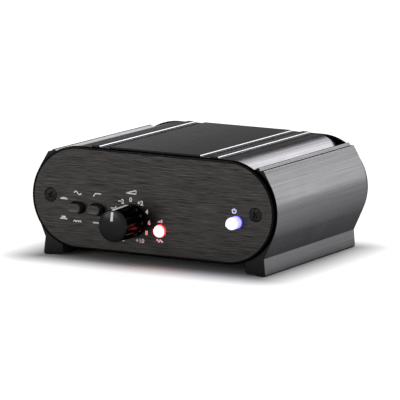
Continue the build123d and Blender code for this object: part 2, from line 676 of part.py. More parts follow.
# ----------------------------------------------------------------------- push buttons
def button_cap(proud):
    """Button cap whose face stands at y = -proud, with a square socket for its plunger."""
    length = proud + PANEL_THICKNESS + BUTTON_INSIDE
    cap = slab(SlotOverall(BUTTON_WIDTH, BUTTON_HEIGHT), 0, length)
    cap = chamfer(cap.faces().sort_by(Axis.Y)[0].edges(), BUTTON_BEVEL)
    cap -= block(0, 0, PLUNGER_SIZE, PLUNGER_SIZE, length - PLUNGER_IN_BUTTON, length)
    return Pos(0, -proud, 0) * cap, length - proud


def switch_set(proud, body_depth):
    """Cap, plunger and switch body about the button's axis, panel face at y = 0."""
    cap, cap_end = button_cap(proud)
    body_face = PANEL_THICKNESS + SWITCH_SETBACK
    plunger_end = body_face + PLUNGER_IN_BODY
    plunger = block(0, 0, PLUNGER_SIZE, PLUNGER_SIZE, cap_end - PLUNGER_IN_BUTTON, plunger_end)
    body = block(0, 0, SWITCH_SIZE, SWITCH_SIZE, body_face, body_face + body_depth)
    well = PLUNGER_SIZE + 2 * PLUNGER_GAP
    body -= block(0, 0, well, well, body_face, plunger_end + BUTTON_TRAVEL + BUTTON_STOP_GAP)
    return cap, plunger, body


def front_switch(x):
    """Push switch of the front panel, on the control board."""
    pieces = switch_set(BUTTON_PROUD, CONTROL_BOARD_FRONT - SWITCH_FRONT)
    return [Pos(x, -PANEL_FACE, BUTTON_Z) * piece for piece in pieces]


def rear_switch():
    """Push switch of the rear panel, on the main board, pressed towards the front."""
    turn = Pos(REAR_BUTTON_X, REAR_PANEL_FACE, REAR_BUTTON_Z) * Rot(0, 0, 180)
    return [turn * piece for piece in switch_set(REAR_BUTTON_PROUD, REAR_SWITCH_DEPTH)]


# -------------------------------------------------------------------------- lights
def led_lens(x, z, tip):
    """Light with a domed front and a flange at its back, tip towards the front."""
    dome_z = LED_LENGTH - LED_RADIUS
    profile = Polyline(
        (0, 0),
        (LED_FLANGE_RADIUS, 0),
        (LED_FLANGE_RADIUS, LED_FLANGE),
        (LED_RADIUS, LED_FLANGE),
        (LED_RADIUS, dome_z),
    )
    dome = RadiusArc((LED_RADIUS, dome_z), (0, LED_LENGTH), -LED_RADIUS)
    outline = Curve() + [profile, dome, Line((0, LED_LENGTH), (0, 0))]
    lens = revolve(make_face(outline), Axis.Y)
    return Pos(x, tip + LED_LENGTH, z) * Rot(0, 0, 180) * lens


def led_wires(x, z, tip):
    """Both leads, from the light's base through the control board."""
    end = CONTROL_BOARD_BACK + LEAD_TAIL
    return [rod(lead_x, z, LEAD_RADIUS, tip + LED_LENGTH, end) for lead_x in led_leads(x)]


def led_spacer(x, z, tip):
    """Round spacer between the light and the control board, open for the leads."""
    face = Circle(LED_RADIUS)
    for lead_x in led_leads(0):
        face -= Pos(lead_x, 0) * Circle(LEAD_HOLE_RADIUS)
    return slab(Pos(x, z) * face, tip + LED_LENGTH, CONTROL_BOARD_FRONT)


# -------------------------------------------------------------------- rear connectors
def socket_block(middle):
    """Moulded block of two sockets on the main board, with a collar round each."""
    top = BOARD_TOP + SOCKET_BLOCK_HEIGHT
    front = REAR_PANEL_BACK - SOCKET_BLOCK_DEPTH
    height = top - BOARD_TOP
    body = block(middle, BOARD_TOP + height / 2, SOCKET_BLOCK_WIDTH, height, front, REAR_PANEL_BACK)
    for x in socket_places(middle):
        body += rod(x, SOCKET_Z, SOCKET_COLLAR_RADIUS, REAR_PANEL_BACK, COLLAR_END)
    for x in socket_places(middle):
        body -= rod(x, SOCKET_Z, SOCKET_BORE_RADIUS, REAR_PANEL_BACK - SOCKET_IN_BLOCK, COLLAR_END)
    return body


def socket_shell(x):
    """Outer contact of a socket: the plug's ring grips it, and its foot sits on the collar."""
    return tube(x, SOCKET_Z, SOCKET_RADIUS, SOCKET_BORE_RADIUS, COLLAR_END, SOCKET_TIP)


def socket_insulator(x):
    """Insulator through shell and block, with a mouth and a seat for the centre contact."""
    outer = SOCKET_BORE_RADIUS - SOCKET_FIT
    tip = SOCKET_TIP - INSULATOR_SUNK
    seat = tip - CONTACT_SUNK
    plug = rod(x, SOCKET_Z, outer, REAR_PANEL_BACK - SOCKET_IN_BLOCK, tip)
    plug -= rod(x, SOCKET_Z, MOUTH_RADIUS, seat, tip)
    return plug - rod(x, SOCKET_Z, CONTACT_RADIUS + CONTACT_WALL, seat - CONTACT_LENGTH, seat)


def socket_contact(x):
    """Centre contact, a sleeve for the plug's pin."""
    seat = SOCKET_TIP - INSULATOR_SUNK - CONTACT_SUNK
    outer = CONTACT_RADIUS + CONTACT_WALL
    return tube(x, SOCKET_Z, outer, CONTACT_RADIUS, seat - CONTACT_LENGTH, seat)


def inlet_body():
    """Barrel power inlet on the main board, its collar flush with the panel."""
    front = REAR_PANEL_BACK - INLET_DEPTH
    body = block(INLET_X, BOARD_TOP + INLET_HEIGHT / 2, INLET_WIDTH, INLET_HEIGHT, front, REAR_PANEL_BACK)
    body += rod(INLET_X, INLET_Z, INLET_COLLAR_RADIUS, REAR_PANEL_BACK, REAR_PANEL_FACE)
    return body - rod(INLET_X, INLET_Z, INLET_BORE_RADIUS, INLET_BORE_END, REAR_PANEL_FACE)


def inlet_pin():
    """Centre pin of the power inlet."""
    return rod(INLET_X, INLET_Z, INLET_PIN_RADIUS, INLET_BORE_END, REAR_PANEL_FACE - INLET_PIN_SUNK)


def ground_stud():
    """Stud with a head inside the case, through the rear panel, and a thinner plain end."""
    head_end = REAR_PANEL_BACK - STUD_INNER_NUT
    head = rod(GROUND_X, GROUND_Z, STUD_HEAD_RADIUS, head_end - STUD_HEAD, head_end)
    thread = rod(GROUND_X, GROUND_Z, STUD_RADIUS, head_end, STUD_TIP - STUD_POINT)
    return head + thread + rod(GROUND_X, GROUND_Z, STUD_POINT_RADIUS, STUD_TIP - STUD_POINT, STUD_TIP)


def ground_inner_nut():
    """Nut that holds the stud to the rear panel from inside."""
    hexagon = RegularPolygon(STUD_INNER_NUT_FLATS / 2, 6, major_radius=False)
    ring = Pos(GROUND_X, GROUND_Z) * (hexagon - Circle(STUD_RADIUS + STUD_GAP / 2))
    return slab(ring, REAR_PANEL_BACK - STUD_INNER_NUT, REAR_PANEL_BACK)


def thumb_nut():
    """Knurled nut with a plain neck towards the washer."""
    start = REAR_PANEL_FACE + CLAMP_WASHER
    neck_radius = THUMB_NUT_RADIUS - THUMB_NUT_NECK
    head = Circle(THUMB_NUT_RADIUS)
    for place in PolarLocations(THUMB_NUT_RADIUS, THUMB_NUT_TEETH):
        head -= place * Rot(0, 0, 45) * Rectangle(2 * THUMB_TOOTH_DEPTH, 2 * THUMB_TOOTH_DEPTH)
    nut = slab(Circle(neck_radius), 0, THUMB_NUT_NECK) + slab(head, THUMB_NUT_NECK, THUMB_NUT)
    nut -= rod(0, 0, STUD_RADIUS + STUD_GAP, 0, THUMB_NUT)
    return Pos(GROUND_X, start, GROUND_Z) * nut


# ---------------------------------------------------------------- parts on the board
CHIP_WIDTH = 6.4
CHIP_LENGTH = 9.6
CHIP_HEIGHT = 3.3
CHIP_LIFT = 0.5
CHIP_PIN = 0.5
CHIP_PIN_PITCH = 2.54
CHIP_SPACING = 22.0
CAN_RADIUS = 4.0
CAN_HEIGHT = 11.5
CAN_BEVEL = 0.35
CAN_SPACING = 14.0
CAN_COUNT = 4
FILM_WIDTH = 7.2
FILM_DEPTH = 3.5
FILM_HEIGHT = 7.5
FILM_SPACING = 14.0
FILM_COUNT = 4
RESISTOR_RADIUS = 1.15
RESISTOR_LENGTH = 6.3
RESISTOR_SPACING = 7.0
RESISTOR_COUNT = 6
REGULATOR_WIDTH = 10.0
REGULATOR_HEIGHT = 15.5
REGULATOR_BODY = 9.0
REGULATOR_DEPTH = 4.4
REGULATOR_TAB = 1.3
REGULATOR_INSET = 14.6    # from the panel's round end
RESISTOR_ROW = 0.155      # rows, as shares of the way from the control board to the sockets
FILM_ROW = 0.36
REGULATOR_ROW = 0.47
CHIP_ROW = 0.57
CAN_ROW = 0.82


def on_board(x, row, shape):
    """Stand a shape, built upright on z = 0, in a row of the main board."""
    rear = REAR_PANEL_BACK - SOCKET_BLOCK_DEPTH
    y = CONTROL_BOARD_BACK + row * (rear - CONTROL_BOARD_BACK)
    return Pos(x, y, BOARD_TOP) * shape


def spread(count, spacing):
    """Evenly spaced places about the middle."""
    return [(i - (count - 1) / 2) * spacing for i in range(count)]


def op_amp():
    """Eight-pin dual-in-line chip with straight pins to the board."""
    foot = (Align.CENTER, Align.CENTER, Align.MIN)
    chip = Pos(0, 0, CHIP_LIFT) * Box(CHIP_WIDTH, CHIP_LENGTH, CHIP_HEIGHT, align=foot)
    chip = chamfer(chip.edges().group_by(Axis.Z)[-1], CHIP_LIFT)
    reach = CHIP_WIDTH / 2 + CHIP_PIN / 2
    for y in spread(4, CHIP_PIN_PITCH):
        for x in (-reach, reach):
            chip += Pos(x, y, 0) * Box(CHIP_PIN, CHIP_PIN, CHIP_HEIGHT / 2 + CHIP_LIFT, align=foot)
    return chip


def electrolytic():
    """Can capacitor with a bevelled top edge."""
    foot = (Align.CENTER, Align.CENTER, Align.MIN)
    can = Cylinder(CAN_RADIUS, CAN_HEIGHT, align=foot)
    return chamfer(can.edges().group_by(Axis.Z)[-1], CAN_BEVEL)


def regulator():
    """Upright voltage regulator with its metal tab behind."""
    foot = (Align.CENTER, Align.MIN, Align.MIN)
    low = REGULATOR_HEIGHT - REGULATOR_BODY
    body = Box(REGULATOR_WIDTH, REGULATOR_DEPTH, low, align=foot)
    tab = Pos(0, 0, low) * Box(REGULATOR_WIDTH, REGULATOR_TAB, REGULATOR_BODY, align=foot)
    return body + tab


def resistor():
    """Resistor lying on the board along Y."""
    return Pos(0, 0, RESISTOR_RADIUS) * Rot(90, 0, 0) * Cylinder(RESISTOR_RADIUS, RESISTOR_LENGTH)


# ------------------------------------------------------------------------------ write
def write_case():
    save("lower_shell", lower_shell())
    save("top_cover", top_cover())
    front_bezel = bezel()
    save("front_bezel", front_bezel)
    save("rear_bezel", at_rear(front_bezel))
    save("front_panel", front_panel())
    save("rear_panel", rear_panel())
    screws = [panel_screw(side) for side in (-1, 1)]
    save("front_panel_screws", *screws)
    save("rear_panel_screws", *[at_rear(screw) for screw in screws])


def write_gain_control():
    save("gain_pot_body", pot_body())
    bush_bore = SHAFT_RADIUS + SHAFT_GAP
    save("gain_pot_bush", tube(KNOB_X, KNOB_Z, BUSH_RADIUS, bush_bore, BUSH_TIP, -PANEL_BACK))
    washer_front = -PANEL_FACE - WASHER_THICKNESS
    washer_bore = BUSH_RADIUS + BUSH_GAP
    save("gain_pot_washer", tube(KNOB_X, KNOB_Z, WASHER_RADIUS, washer_bore, washer_front, -PANEL_FACE))
    save("gain_pot_nut", pot_nut())
    save("gain_pot_shaft", pot_shaft())
    save("gain_knob", gain_knob())
    save("gain_knob_pointer", knob_pointer())


def write_switches():
    sets = {
        "input_type": front_switch(INPUT_TYPE_X),
        "filter": front_switch(FILTER_X),
        "rear": rear_switch(),
    }
    for name, (cap, plunger, body) in sets.items():
        save(f"{name}_button", cap)
        save(f"{name}_plunger", plunger)
        save(f"{name}_switch_body", body)


def write_lights():
    clip = (CLIP_LED_X, CLIP_LED_Z, CLIP_LED_TIP)
    power = (POWER_LED_X, POWER_LED_Z, POWER_LED_TIP)
    for name, place in (("clip_led", clip), ("power_led", power)):
        save(name, led_lens(*place))
        save(f"{name}_leads", *led_wires(*place))
        save(f"{name}_spacer", led_spacer(*place))


def write_rear_connectors():
    for name, middle in (("input", INPUT_X), ("output", OUTPUT_X)):
        save(f"{name}_socket_block", socket_block(middle))
        for channel, x in zip(("right", "left"), socket_places(middle)):
            save(f"{name}_{channel}_shell", socket_shell(x))
            save(f"{name}_{channel}_insulator", socket_insulator(x))
            save(f"{name}_{channel}_contact", socket_contact(x))
    save("inlet_body", inlet_body())
    save("inlet_pin", inlet_pin())
    save("ground_stud", ground_stud())
    save("ground_inner_nut", ground_inner_nut())
    washer_end = REAR_PANEL_FACE + CLAMP_WASHER
    bore = STUD_RADIUS + STUD_GAP
    save("ground_washer", tube(GROUND_X, GROUND_Z, CLAMP_WASHER_RADIUS, bore, REAR_PANEL_FACE, washer_end))
    save("ground_thumb_nut", thumb_nut())


def write_boards():
    save("main_board", main_board())
    save("control_board", control_board())
    save("board_header", board_header())
    save("op_amps", *[on_board(x, CHIP_ROW, op_amp()) for x in spread(2, CHIP_SPACING)])
    cans = [on_board(x, CAN_ROW, electrolytic()) for x in spread(CAN_COUNT, CAN_SPACING)]
    save("electrolytic_capacitors", *cans)
    foot = (Align.CENTER, Align.CENTER, Align.MIN)
    film = Box(FILM_WIDTH, FILM_DEPTH, FILM_HEIGHT, align=foot)
    save("film_capacitors", *[on_board(x, FILM_ROW, film) for x in spread(FILM_COUNT, FILM_SPACING)])
    places = spread(RESISTOR_COUNT, RESISTOR_SPACING)
    save("resistors", *[on_board(x, RESISTOR_ROW, resistor()) for x in places])
    regulator_x = ARC_X + PANEL_RADIUS - REGULATOR_INSET - REGULATOR_WIDTH / 2
    save("voltage_regulator", on_board(regulator_x, REGULATOR_ROW, regulator()))


if __name__ == "__main__":
    os.makedirs("parts", exist_ok=True)
    write_case()
    write_gain_control()
    write_switches()
    write_lights()
    write_rear_connectors()
    write_boards()
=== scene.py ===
"""Phono preamp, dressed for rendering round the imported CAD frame.

Lengths in the classes are millimetres in the maker's frame: x to the right, y from the
front end of the shells to the back, z up from the panels' middle line.  ``in_frame``
moves them into the row frame, in metres.
"""

import logging
import math
from collections.abc import Callable
from dataclasses import dataclass, field
from enum import Enum
from functools import cache
from typing import NamedTuple

import bmesh
import bpy
import numpy as np
from mathutils import Matrix, Vector
from mathutils.geometry import tessellate_polygon


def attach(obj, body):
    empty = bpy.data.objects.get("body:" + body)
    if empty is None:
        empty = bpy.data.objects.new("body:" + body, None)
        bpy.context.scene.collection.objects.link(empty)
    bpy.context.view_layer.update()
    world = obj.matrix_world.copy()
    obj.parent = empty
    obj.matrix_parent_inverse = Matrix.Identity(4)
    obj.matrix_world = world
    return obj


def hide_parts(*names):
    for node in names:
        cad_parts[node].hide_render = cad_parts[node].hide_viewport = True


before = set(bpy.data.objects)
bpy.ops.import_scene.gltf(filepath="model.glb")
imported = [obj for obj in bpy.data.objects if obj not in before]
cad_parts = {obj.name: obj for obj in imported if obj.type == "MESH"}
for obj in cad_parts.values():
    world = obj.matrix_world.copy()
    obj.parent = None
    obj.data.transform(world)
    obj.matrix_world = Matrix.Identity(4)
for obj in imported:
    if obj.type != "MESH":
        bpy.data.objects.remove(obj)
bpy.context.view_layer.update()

LOG = logging.getLogger("phono_preamp")

MM = 0.001
ORIGIN_SHIFT = np.array([0.0, -39.43, 25.0])
SHARP_ANGLE = math.radians(32.0)
WELD_DISTANCE = 2e-7
SAME_POINT = 1e-6
QUARTER_TURN = math.pi / 2
FULL_TURN = 2 * math.pi

CASE = "case"
CASE_LENGTH = 84.4
PANEL_FACE = -2.0
REAR_FACE = 86.4
REAR_PANEL_BACK = 85.2
BOARD_TOP = -14.2

Array = np.ndarray
Socket = bpy.types.NodeSocket
Colour = tuple[float, float, float]
Pair = tuple[float, float]
RadiusRule = Callable[[Array, Array, Array], Array]


def in_frame(point: Array | tuple) -> Array:
    """A place in the maker's millimetres, carried into the row frame's metres."""
    return (np.asarray(point) + ORIGIN_SHIFT) * MM


# ------------------------------------------------------------------ node sketches
class Sketch:
    """Short-hand for building a node tree."""

    def __init__(self, tree: bpy.types.NodeTree) -> None:
        """Keep the material's, world's or group's tree that the nodes go into."""
        self.tree = tree

    def fill(self, node: bpy.types.Node, inputs: dict) -> None:
        """Give a node's inputs their values.

        Args:
            node: The node.
            inputs: Socket name or index to a value, or to an output socket to link; a
                colour has three parts.
        """
        for name, value in inputs.items():
            socket = node.inputs[name]
            if isinstance(value, Socket):
                self.tree.links.new(value, socket)
            else:
                socket.default_value = (*value, 1.0) if socket.type == "RGBA" else value

    def add(self, kind: str, inputs: dict | None = None, **settings: object) -> bpy.types.Node:
        """Add one node.

        Args:
            kind: Blender's node type without the ``ShaderNode`` prefix.
            inputs: Values of the inputs, as for ``fill``.
            **settings: Attributes of the node.

        Returns:
            The new node.
        """
        node = self.tree.nodes.new(kind if kind.startswith("Node") else f"ShaderNode{kind}")
        for name, value in settings.items():
            setattr(node, name, value)
        self.fill(node, inputs or {})
        return node

    def math(self, operation: str, a: object, b: object = 0.0, clamp: bool = False) -> Socket:
        """Add a Math node and return its output."""
        return self.add("Math", {0: a, 1: b}, operation=operation, use_clamp=clamp).outputs[0]

    def vector(self, operation: str, a: object, b: object = (0.0, 0.0, 0.0)) -> bpy.types.NodeOutputs:
        """Add a Vector Math node and return its outputs, Vector and Value."""
        return self.add("VectorMath", {0: a, 1: b}, operation=operation).outputs

    def mix(self, factor: object, a: object, b: object) -> Socket:
        """Mix two colours by a factor and return the colour output."""
        return self.add("Mix", {0: factor, 6: a, 7: b}, data_type="RGBA").outputs[2]

    def span(
        self, value: object, low: float, high: float, at_low: float = 0.0, at_high: float = 1.0
    ) -> Socket:
        """Map a value from one span to another, clamped, and return the result."""
        inputs = {0: value, 1: low, 2: high, 3: at_low, 4: at_high}
        return self.add("MapRange", inputs, clamp=True).outputs[0]

    def ramp(self, mask: object, at_zero: float, at_one: float) -> Socket:
        """Map a mask from 0 to 1 to a span."""
        return self.span(mask, 0.0, 1.0, at_zero, at_one)

    def noise(self, vector: object, scale: object, detail: float = 2.0, **more: float) -> Socket:
        """Add a noise texture and return its value."""
        return self.add("TexNoise", {"Vector": vector, "Scale": scale, "Detail": detail, **more}).outputs[0]


class Group(Sketch):
    """A shader group under construction: inputs are named first and outputs last."""

    def __init__(self, name: str, **inputs: float | tuple) -> None:
        """Open a group that has a Vector input.

        Args:
            name: The group's name.
            **inputs: Default of each further input, a number or a vector.
        """
        super().__init__(bpy.data.node_groups.new(name, "ShaderNodeTree"))
        for label, default in {"Vector": (0.0, 0.0, 0.0), **inputs}.items():
            kind = "NodeSocketFloat" if isinstance(default, float) else "NodeSocketVector"
            socket = self.tree.interface.new_socket(label, in_out="INPUT", socket_type=kind)
            socket.default_value = default
        self.given = self.add("NodeGroupInput").outputs
        self.place = self.given["Vector"]

    def close(self, **outputs: Socket) -> bpy.types.NodeTree:
        """Name and link the outputs, and return the finished group."""
        for label in outputs:
            self.tree.interface.new_socket(label, in_out="OUTPUT", socket_type="NodeSocketFloat")
        self.add("NodeGroupOutput", outputs)
        return self.tree


class Effects:
    """Shader groups that several finishes share, each built once."""

    @staticmethod
    @cache
    def streaks() -> bpy.types.NodeTree:
        """Brushed or drawn metal: noise stretched by a different scale along each axis."""
        group = Group("streaks", Scale=(1.0, 1.0, 1.0))
        vector = group.vector("MULTIPLY", group.place, group.given["Scale"])[0]
        fine = group.noise(vector, 1.0, 5.0, Roughness=0.7)
        coarse = group.math("MULTIPLY", group.noise(vector, 0.31), 0.14)
        both = group.math("ADD", group.math("MULTIPLY", fine, 0.86), coarse)
        return group.close(Mask=group.span(both, 0.34, 0.66), Height=fine)

    @staticmethod
    @cache
    def grain() -> bpy.types.NodeTree:
        """Fine moulded texture: small noise with rounded cells in it."""
        group = Group("moulded_grain", Scale=3000.0)
        noise = group.noise(group.place, group.given["Scale"], 3.0)
        cells = group.add("TexVoronoi", {"Vector": group.place, "Scale": group.given["Scale"]})
        height = group.math("ADD", noise, group.math("MULTIPLY", cells.outputs[0], 0.5))
        return group.close(Mask=group.span(noise, 0.35, 0.65), Height=height)

    @staticmethod
    @cache
    def mottle() -> bpy.types.NodeTree:
        """Large soft patches, such as handling leaves on a finish."""
        group = Group("mottle", Scale=60.0)
        noise = group.noise(group.place, group.given["Scale"], 4.0, Distortion=0.6)
        return group.close(Mask=group.span(noise, 0.3, 0.7))

    @staticmethod
    @cache
    def dust() -> bpy.types.NodeTree:
        """Sparse specks on faces that look up: noise peaks times the normal's height."""
        group = Group("dust", Amount=0.1)
        peaks = group.span(group.noise(group.place, 900.0), 0.62, 0.72)
        normal = group.add("SeparateXYZ", {0: group.add("NewGeometry").outputs["Normal"]})
        specks = group.math("MULTIPLY", peaks, group.math("MAXIMUM", normal.outputs[2], 0.0))
        return group.close(Mask=group.math("MULTIPLY", specks, group.given["Amount"], clamp=True))

    @staticmethod
    @cache
    def edge_wear() -> bpy.types.NodeTree:
        """Rubbed edges: the edge mark broken up by noise and scaled by the amount."""
        group = Group("edge_wear", Edge=0.0, Amount=0.5)
        gaps = group.span(group.noise(group.place, 350.0, 3.0), 0.35, 0.65, 0.3, 1.0)
        broken = group.math("MULTIPLY", group.given["Edge"], gaps)
        return group.close(Mask=group.math("MULTIPLY", broken, group.given["Amount"], clamp=True))


class Paint(Sketch):
    """A material under construction, with its shader and its Object coordinates."""

    DUST: Colour = (0.5, 0.5, 0.48)

    def __init__(self, name: str) -> None:
        """Make the material with a Principled shader.

        Args:
            name: The material's name.
        """
        self.material = bpy.data.materials.new(name)
        self.material.use_nodes = True
        self.material.node_tree.nodes.clear()
        super().__init__(self.material.node_tree)
        self.place = self.add("TexCoord").outputs["Object"]
        self.shader = self.add("BsdfPrincipled")
        self.out = self.add("OutputMaterial", {0: self.shader.outputs[0]})

    def set(self, inputs: dict[str, object]) -> None:
        """Set or link inputs of the shader."""
        self.fill(self.shader, inputs)

    def effect(self, tree: bpy.types.NodeTree, **inputs: object) -> bpy.types.NodeOutputs:
        """Place a shared group on the Object coordinates and return its outputs."""
        return self.add("Group", {"Vector": self.place, **inputs}, node_tree=tree).outputs

    def mark(self, name: str) -> Socket:
        """A number stored on the piece, zero where the piece has none."""
        return self.add("Attribute", attribute_name=name).outputs["Fac"]

    def bump(self, height: Socket, distance: float, strength: float) -> Socket:
        """Bump from a height, distance in metres."""
        return self.add("Bump", {"Height": height, "Distance": distance, "Strength": strength}).outputs[0]

    def shaded(self, mask: Socket, colour: Colour, low: float, high: float) -> Socket:
        """A colour that a mask takes from one factor of it to another, no channel above 1."""
        dark, light = (tuple(min(1.0, channel * factor) for channel in colour) for factor in (low, high))
        return self.mix(mask, dark, light)

    def worn(self, base: Socket, amount: float, bare: Colour) -> Socket:
        """A base colour with the bare colour showing along the marked edges."""
        wear = self.effect(Effects.edge_wear(), Edge=self.mark("edge"), Amount=amount)
        return self.mix(wear["Mask"], base, bare)

    def dusty(self, base: Socket, amount: float) -> Socket:
        """A base colour with dust on the faces that look up."""
        return self.mix(self.effect(Effects.dust(), Amount=amount)["Mask"], base, self.DUST)


# ----------------------------------------------------------------------- finishes
@dataclass(frozen=True)
class Finish:
    """Base of all finishes."""

    name: str

    def dress(self, paint: Paint) -> None:
        """Set the shader's inputs; each finish has its own."""
        raise NotImplementedError


@cache
def material_of(finish: Finish) -> bpy.types.Material:
    """Build the material of a finish on first use.

    Args:
        finish: The finish.

    Returns:
        Its material, the same one each time.
    """
    paint = Paint(finish.name)
    finish.dress(paint)
    return paint.material


@dataclass(frozen=True)
class DrawnMetal(Finish):
    """Anodised or brushed metal with streaks, bright-cut faces, and ends darkened by painted shade."""

    colour: Colour
    streaks: tuple[float, float, float]
    roughness: float
    contrast: float = 0.5
    depth: float = 2e-6
    wear: float = 0.4
    tint: float = 0.5
    bright: Colour = (0.75, 0.75, 0.76)
    bare: Colour = (0.45, 0.45, 0.456)
    # Colour of faces with a negative tone: painted shade on the shells' ends.
    cut: Colour = (0.018, 0.018, 0.018)

    def dress(self, paint: Paint) -> None:
        """Streaked base colour and roughness, worn edges, marked faces bright-cut or darkened by painted
        shade.

        Args:
            paint: The material under construction.
        """
        streak = paint.effect(Effects.streaks(), Scale=self.streaks)
        base = paint.shaded(streak["Mask"], self.colour, max(0.0, 1.0 - self.contrast), 1.0 + self.contrast)
        base = paint.worn(base, self.wear, self.bare)
        tone = paint.mark("tone")
        base = paint.mix(paint.math("MAXIMUM", tone, 0.0), base, self.bright)
        # A negative tone paints shade: those faces take the darker cut colour.
        base = paint.mix(paint.math("MULTIPLY", tone, -1.0, clamp=True), base, self.cut)
        rough = paint.ramp(streak["Mask"], self.roughness + 0.06, self.roughness - 0.04)
        smudges = paint.ramp(paint.effect(Effects.mottle(), Scale=45.0)["Mask"], -0.03, 0.03)
        paint.set(
            {
                "Base Color": paint.dusty(base, 0.05),
                "Roughness": paint.math("ADD", rough, smudges),
                "Metallic": 1.0,
                "Specular Tint": (self.tint,) * 3,
                "Normal": paint.bump(streak["Height"], self.depth, 0.6),
            }
        )


@dataclass(frozen=True)
class MouldedPlastic(Finish):
    """Moulded plastic or resin with a fine grain and handled patches."""

    colour: Colour
    roughness: float = 0.45
    depth: float = 3e-6
    wear: float = 0.12
    coat: float = 0.0

    def dress(self, paint: Paint) -> None:
        """Grained colour, mottled roughness and paler rubbed edges.

        Args:
            paint: The material under construction.
        """
        grain = paint.effect(Effects.grain(), Scale=4000.0)
        mottle = paint.effect(Effects.mottle(), Scale=120.0)
        base = paint.shaded(grain["Mask"], self.colour, 0.85, 1.15)
        base = paint.worn(base, self.wear, tuple(min(1.0, 2.5 * channel) for channel in self.colour))
        paint.set(
            {
                "Base Color": paint.dusty(base, 0.06),
                "Roughness": paint.ramp(mottle["Mask"], self.roughness - 0.05, self.roughness + 0.07),
                "Specular IOR Level": 0.4,
                "Coat Weight": self.coat,
                "Normal": paint.bump(grain["Height"], self.depth, 0.5),
            }
        )


@dataclass(frozen=True)
class SatinBlack(MouldedPlastic):
    """Black moulding that stays black at a low angle: it mirrors only as much as its colour."""

    glare: float = 0.05

    def dress(self, paint: Paint) -> None:
        """The moulded plastic's pattern under a mirror with little edge glare."""
        super().dress(paint)
        paint.set({"Metallic": 1.0, "Specular Tint": (self.glare,) * 3})


@dataclass(frozen=True)
class PlatedMetal(Finish):
    """Plated or plain bright metal with turning marks, smudges and dulled hollows."""

    colour: Colour
    roughness: float
    marks: tuple[float, float, float] = (130.0, 2600.0, 130.0)

    def dress(self, paint: Paint) -> None:
        """Turning marks round Y, smudged roughness and slightly uneven plating.

        Args:
            paint: The material under construction.
        """
        turned = paint.effect(Effects.streaks(), Scale=self.marks)
        mottle = paint.effect(Effects.mottle(), Scale=260.0)["Mask"]
        patches = paint.math("MULTIPLY", mottle, 0.6)
        uneven = paint.math("ADD", patches, paint.math("MULTIPLY", turned["Mask"], 0.4))
        paint.set(
            {
                "Base Color": paint.shaded(uneven, self.colour, 0.8, 1.08),
                "Roughness": paint.ramp(mottle, self.roughness + 0.1, self.roughness - 0.03),
                "Metallic": 1.0,
                "Normal": paint.bump(turned["Height"], 1.5e-6, 0.5),
            }
        )


@dataclass(frozen=True)
class PrintedInk(Finish):
    """Screen-printed ink: nearly even, a little thin in places."""

    colour: Colour = (0.95, 0.95, 0.95)

    def dress(self, paint: Paint) -> None:
        """Even colour with thin spots and a dull, faintly uneven surface.

        Args:
            paint: The material under construction.
        """
        grain = paint.effect(Effects.grain(), Scale=6000.0)
        base = paint.shaded(grain["Mask"], self.colour, 0.88, 1.0)
        paint.set({"Base Color": base, "Roughness": 0.55, "Normal": paint.bump(grain["Height"], 1e-6, 0.3)})


@dataclass(frozen=True)
class LitLens(Finish):
    """Lit resin lamp: brightest on its axis and at the tip, tinted towards the rim."""

    core: Colour
    rim: Colour
    halo: Colour
    strength: float
    cells: float
    centre: tuple[float, float, float]
    radius: float = 4.2e-3
    panel_y: float = float(in_frame((0.0, PANEL_FACE, 0.0))[1])

    def dress(self, paint: Paint) -> None:
        """Glow from the distance to the hot spot, broken by soft cells, and a halo at the panel.

        Args:
            paint: The material under construction.
        """
        away = paint.vector("DISTANCE", paint.place, self.centre)["Value"]
        glow = paint.span(away, 0.25 * self.radius, self.radius)
        texture = {"Vector": paint.place, "Scale": self.cells, "Smoothness": 0.6}
        cells = paint.add("TexVoronoi", texture, feature="SMOOTH_F1").outputs[0]
        broken = paint.math("MULTIPLY", paint.span(cells, 0.25, 0.75, 0.0, 0.55), glow)
        blend = paint.math("ADD", paint.math("MULTIPLY", glow, 0.75), broken, clamp=True)
        depth = paint.add("SeparateXYZ", {0: paint.place}).outputs[1]
        foot = paint.span(depth, self.panel_y - 1.1e-3, self.panel_y - 0.5e-3)
        paint.set(
            {
                "Emission Color": paint.mix(foot, paint.mix(blend, self.core, self.rim), self.halo),
                "Emission Strength": self.strength,
                "Base Color": paint.mix(0.3, self.rim, self.core),
                "Roughness": paint.ramp(cells, 0.12, 0.22),
                "Normal": paint.bump(cells, 2e-5, 0.2),
            }
        )


@dataclass(frozen=True)
class CircuitBoard(Finish):
    """Glass-epoxy board: solder mask over copper tracks, with tinned pads."""

    mask: Colour
    tin: Colour = (0.72, 0.7, 0.66)
    pitch: float = 2.54e-3

    def dress(self, paint: Paint) -> None:
        """Pads on a grid of the pitch, tracks as warped bands between them, weave under it.

        Args:
            paint: The material under construction.
        """
        scale = 1.0 / self.pitch
        pads = paint.add("TexVoronoi", {"Vector": paint.place, "Scale": scale, "Randomness": 0.0})
        chosen = paint.math("GREATER_THAN", paint.noise(paint.place, 0.35 * scale), 0.52)
        pad = paint.math("MULTIPLY", paint.span(pads.outputs[0], 0.2, 0.24, 1.0, 0.0), chosen)
        waves = {"Vector": paint.place, "Scale": 0.11 * scale, "Distortion": 9.0, "Detail": 0.0}
        tracks = paint.add("TexWave", {**waves, "Detail Scale": 0.6})
        track = paint.span(tracks.outputs[1], 0.78, 0.84)
        weave = paint.effect(Effects.grain(), Scale=1500.0)
        base = paint.shaded(weave["Mask"], self.mask, 0.8, 1.0)
        base = paint.mix(paint.math("MULTIPLY", track, 0.6), base, tuple(2.4 * c for c in self.mask))
        paint.set(
            {
                "Base Color": paint.mix(pad, base, self.tin),
                "Metallic": pad,
                "Roughness": paint.ramp(pad, 0.32, 0.22),
                "Normal": paint.bump(paint.math("ADD", track, pad), 3e-5, 0.4),
            }
        )


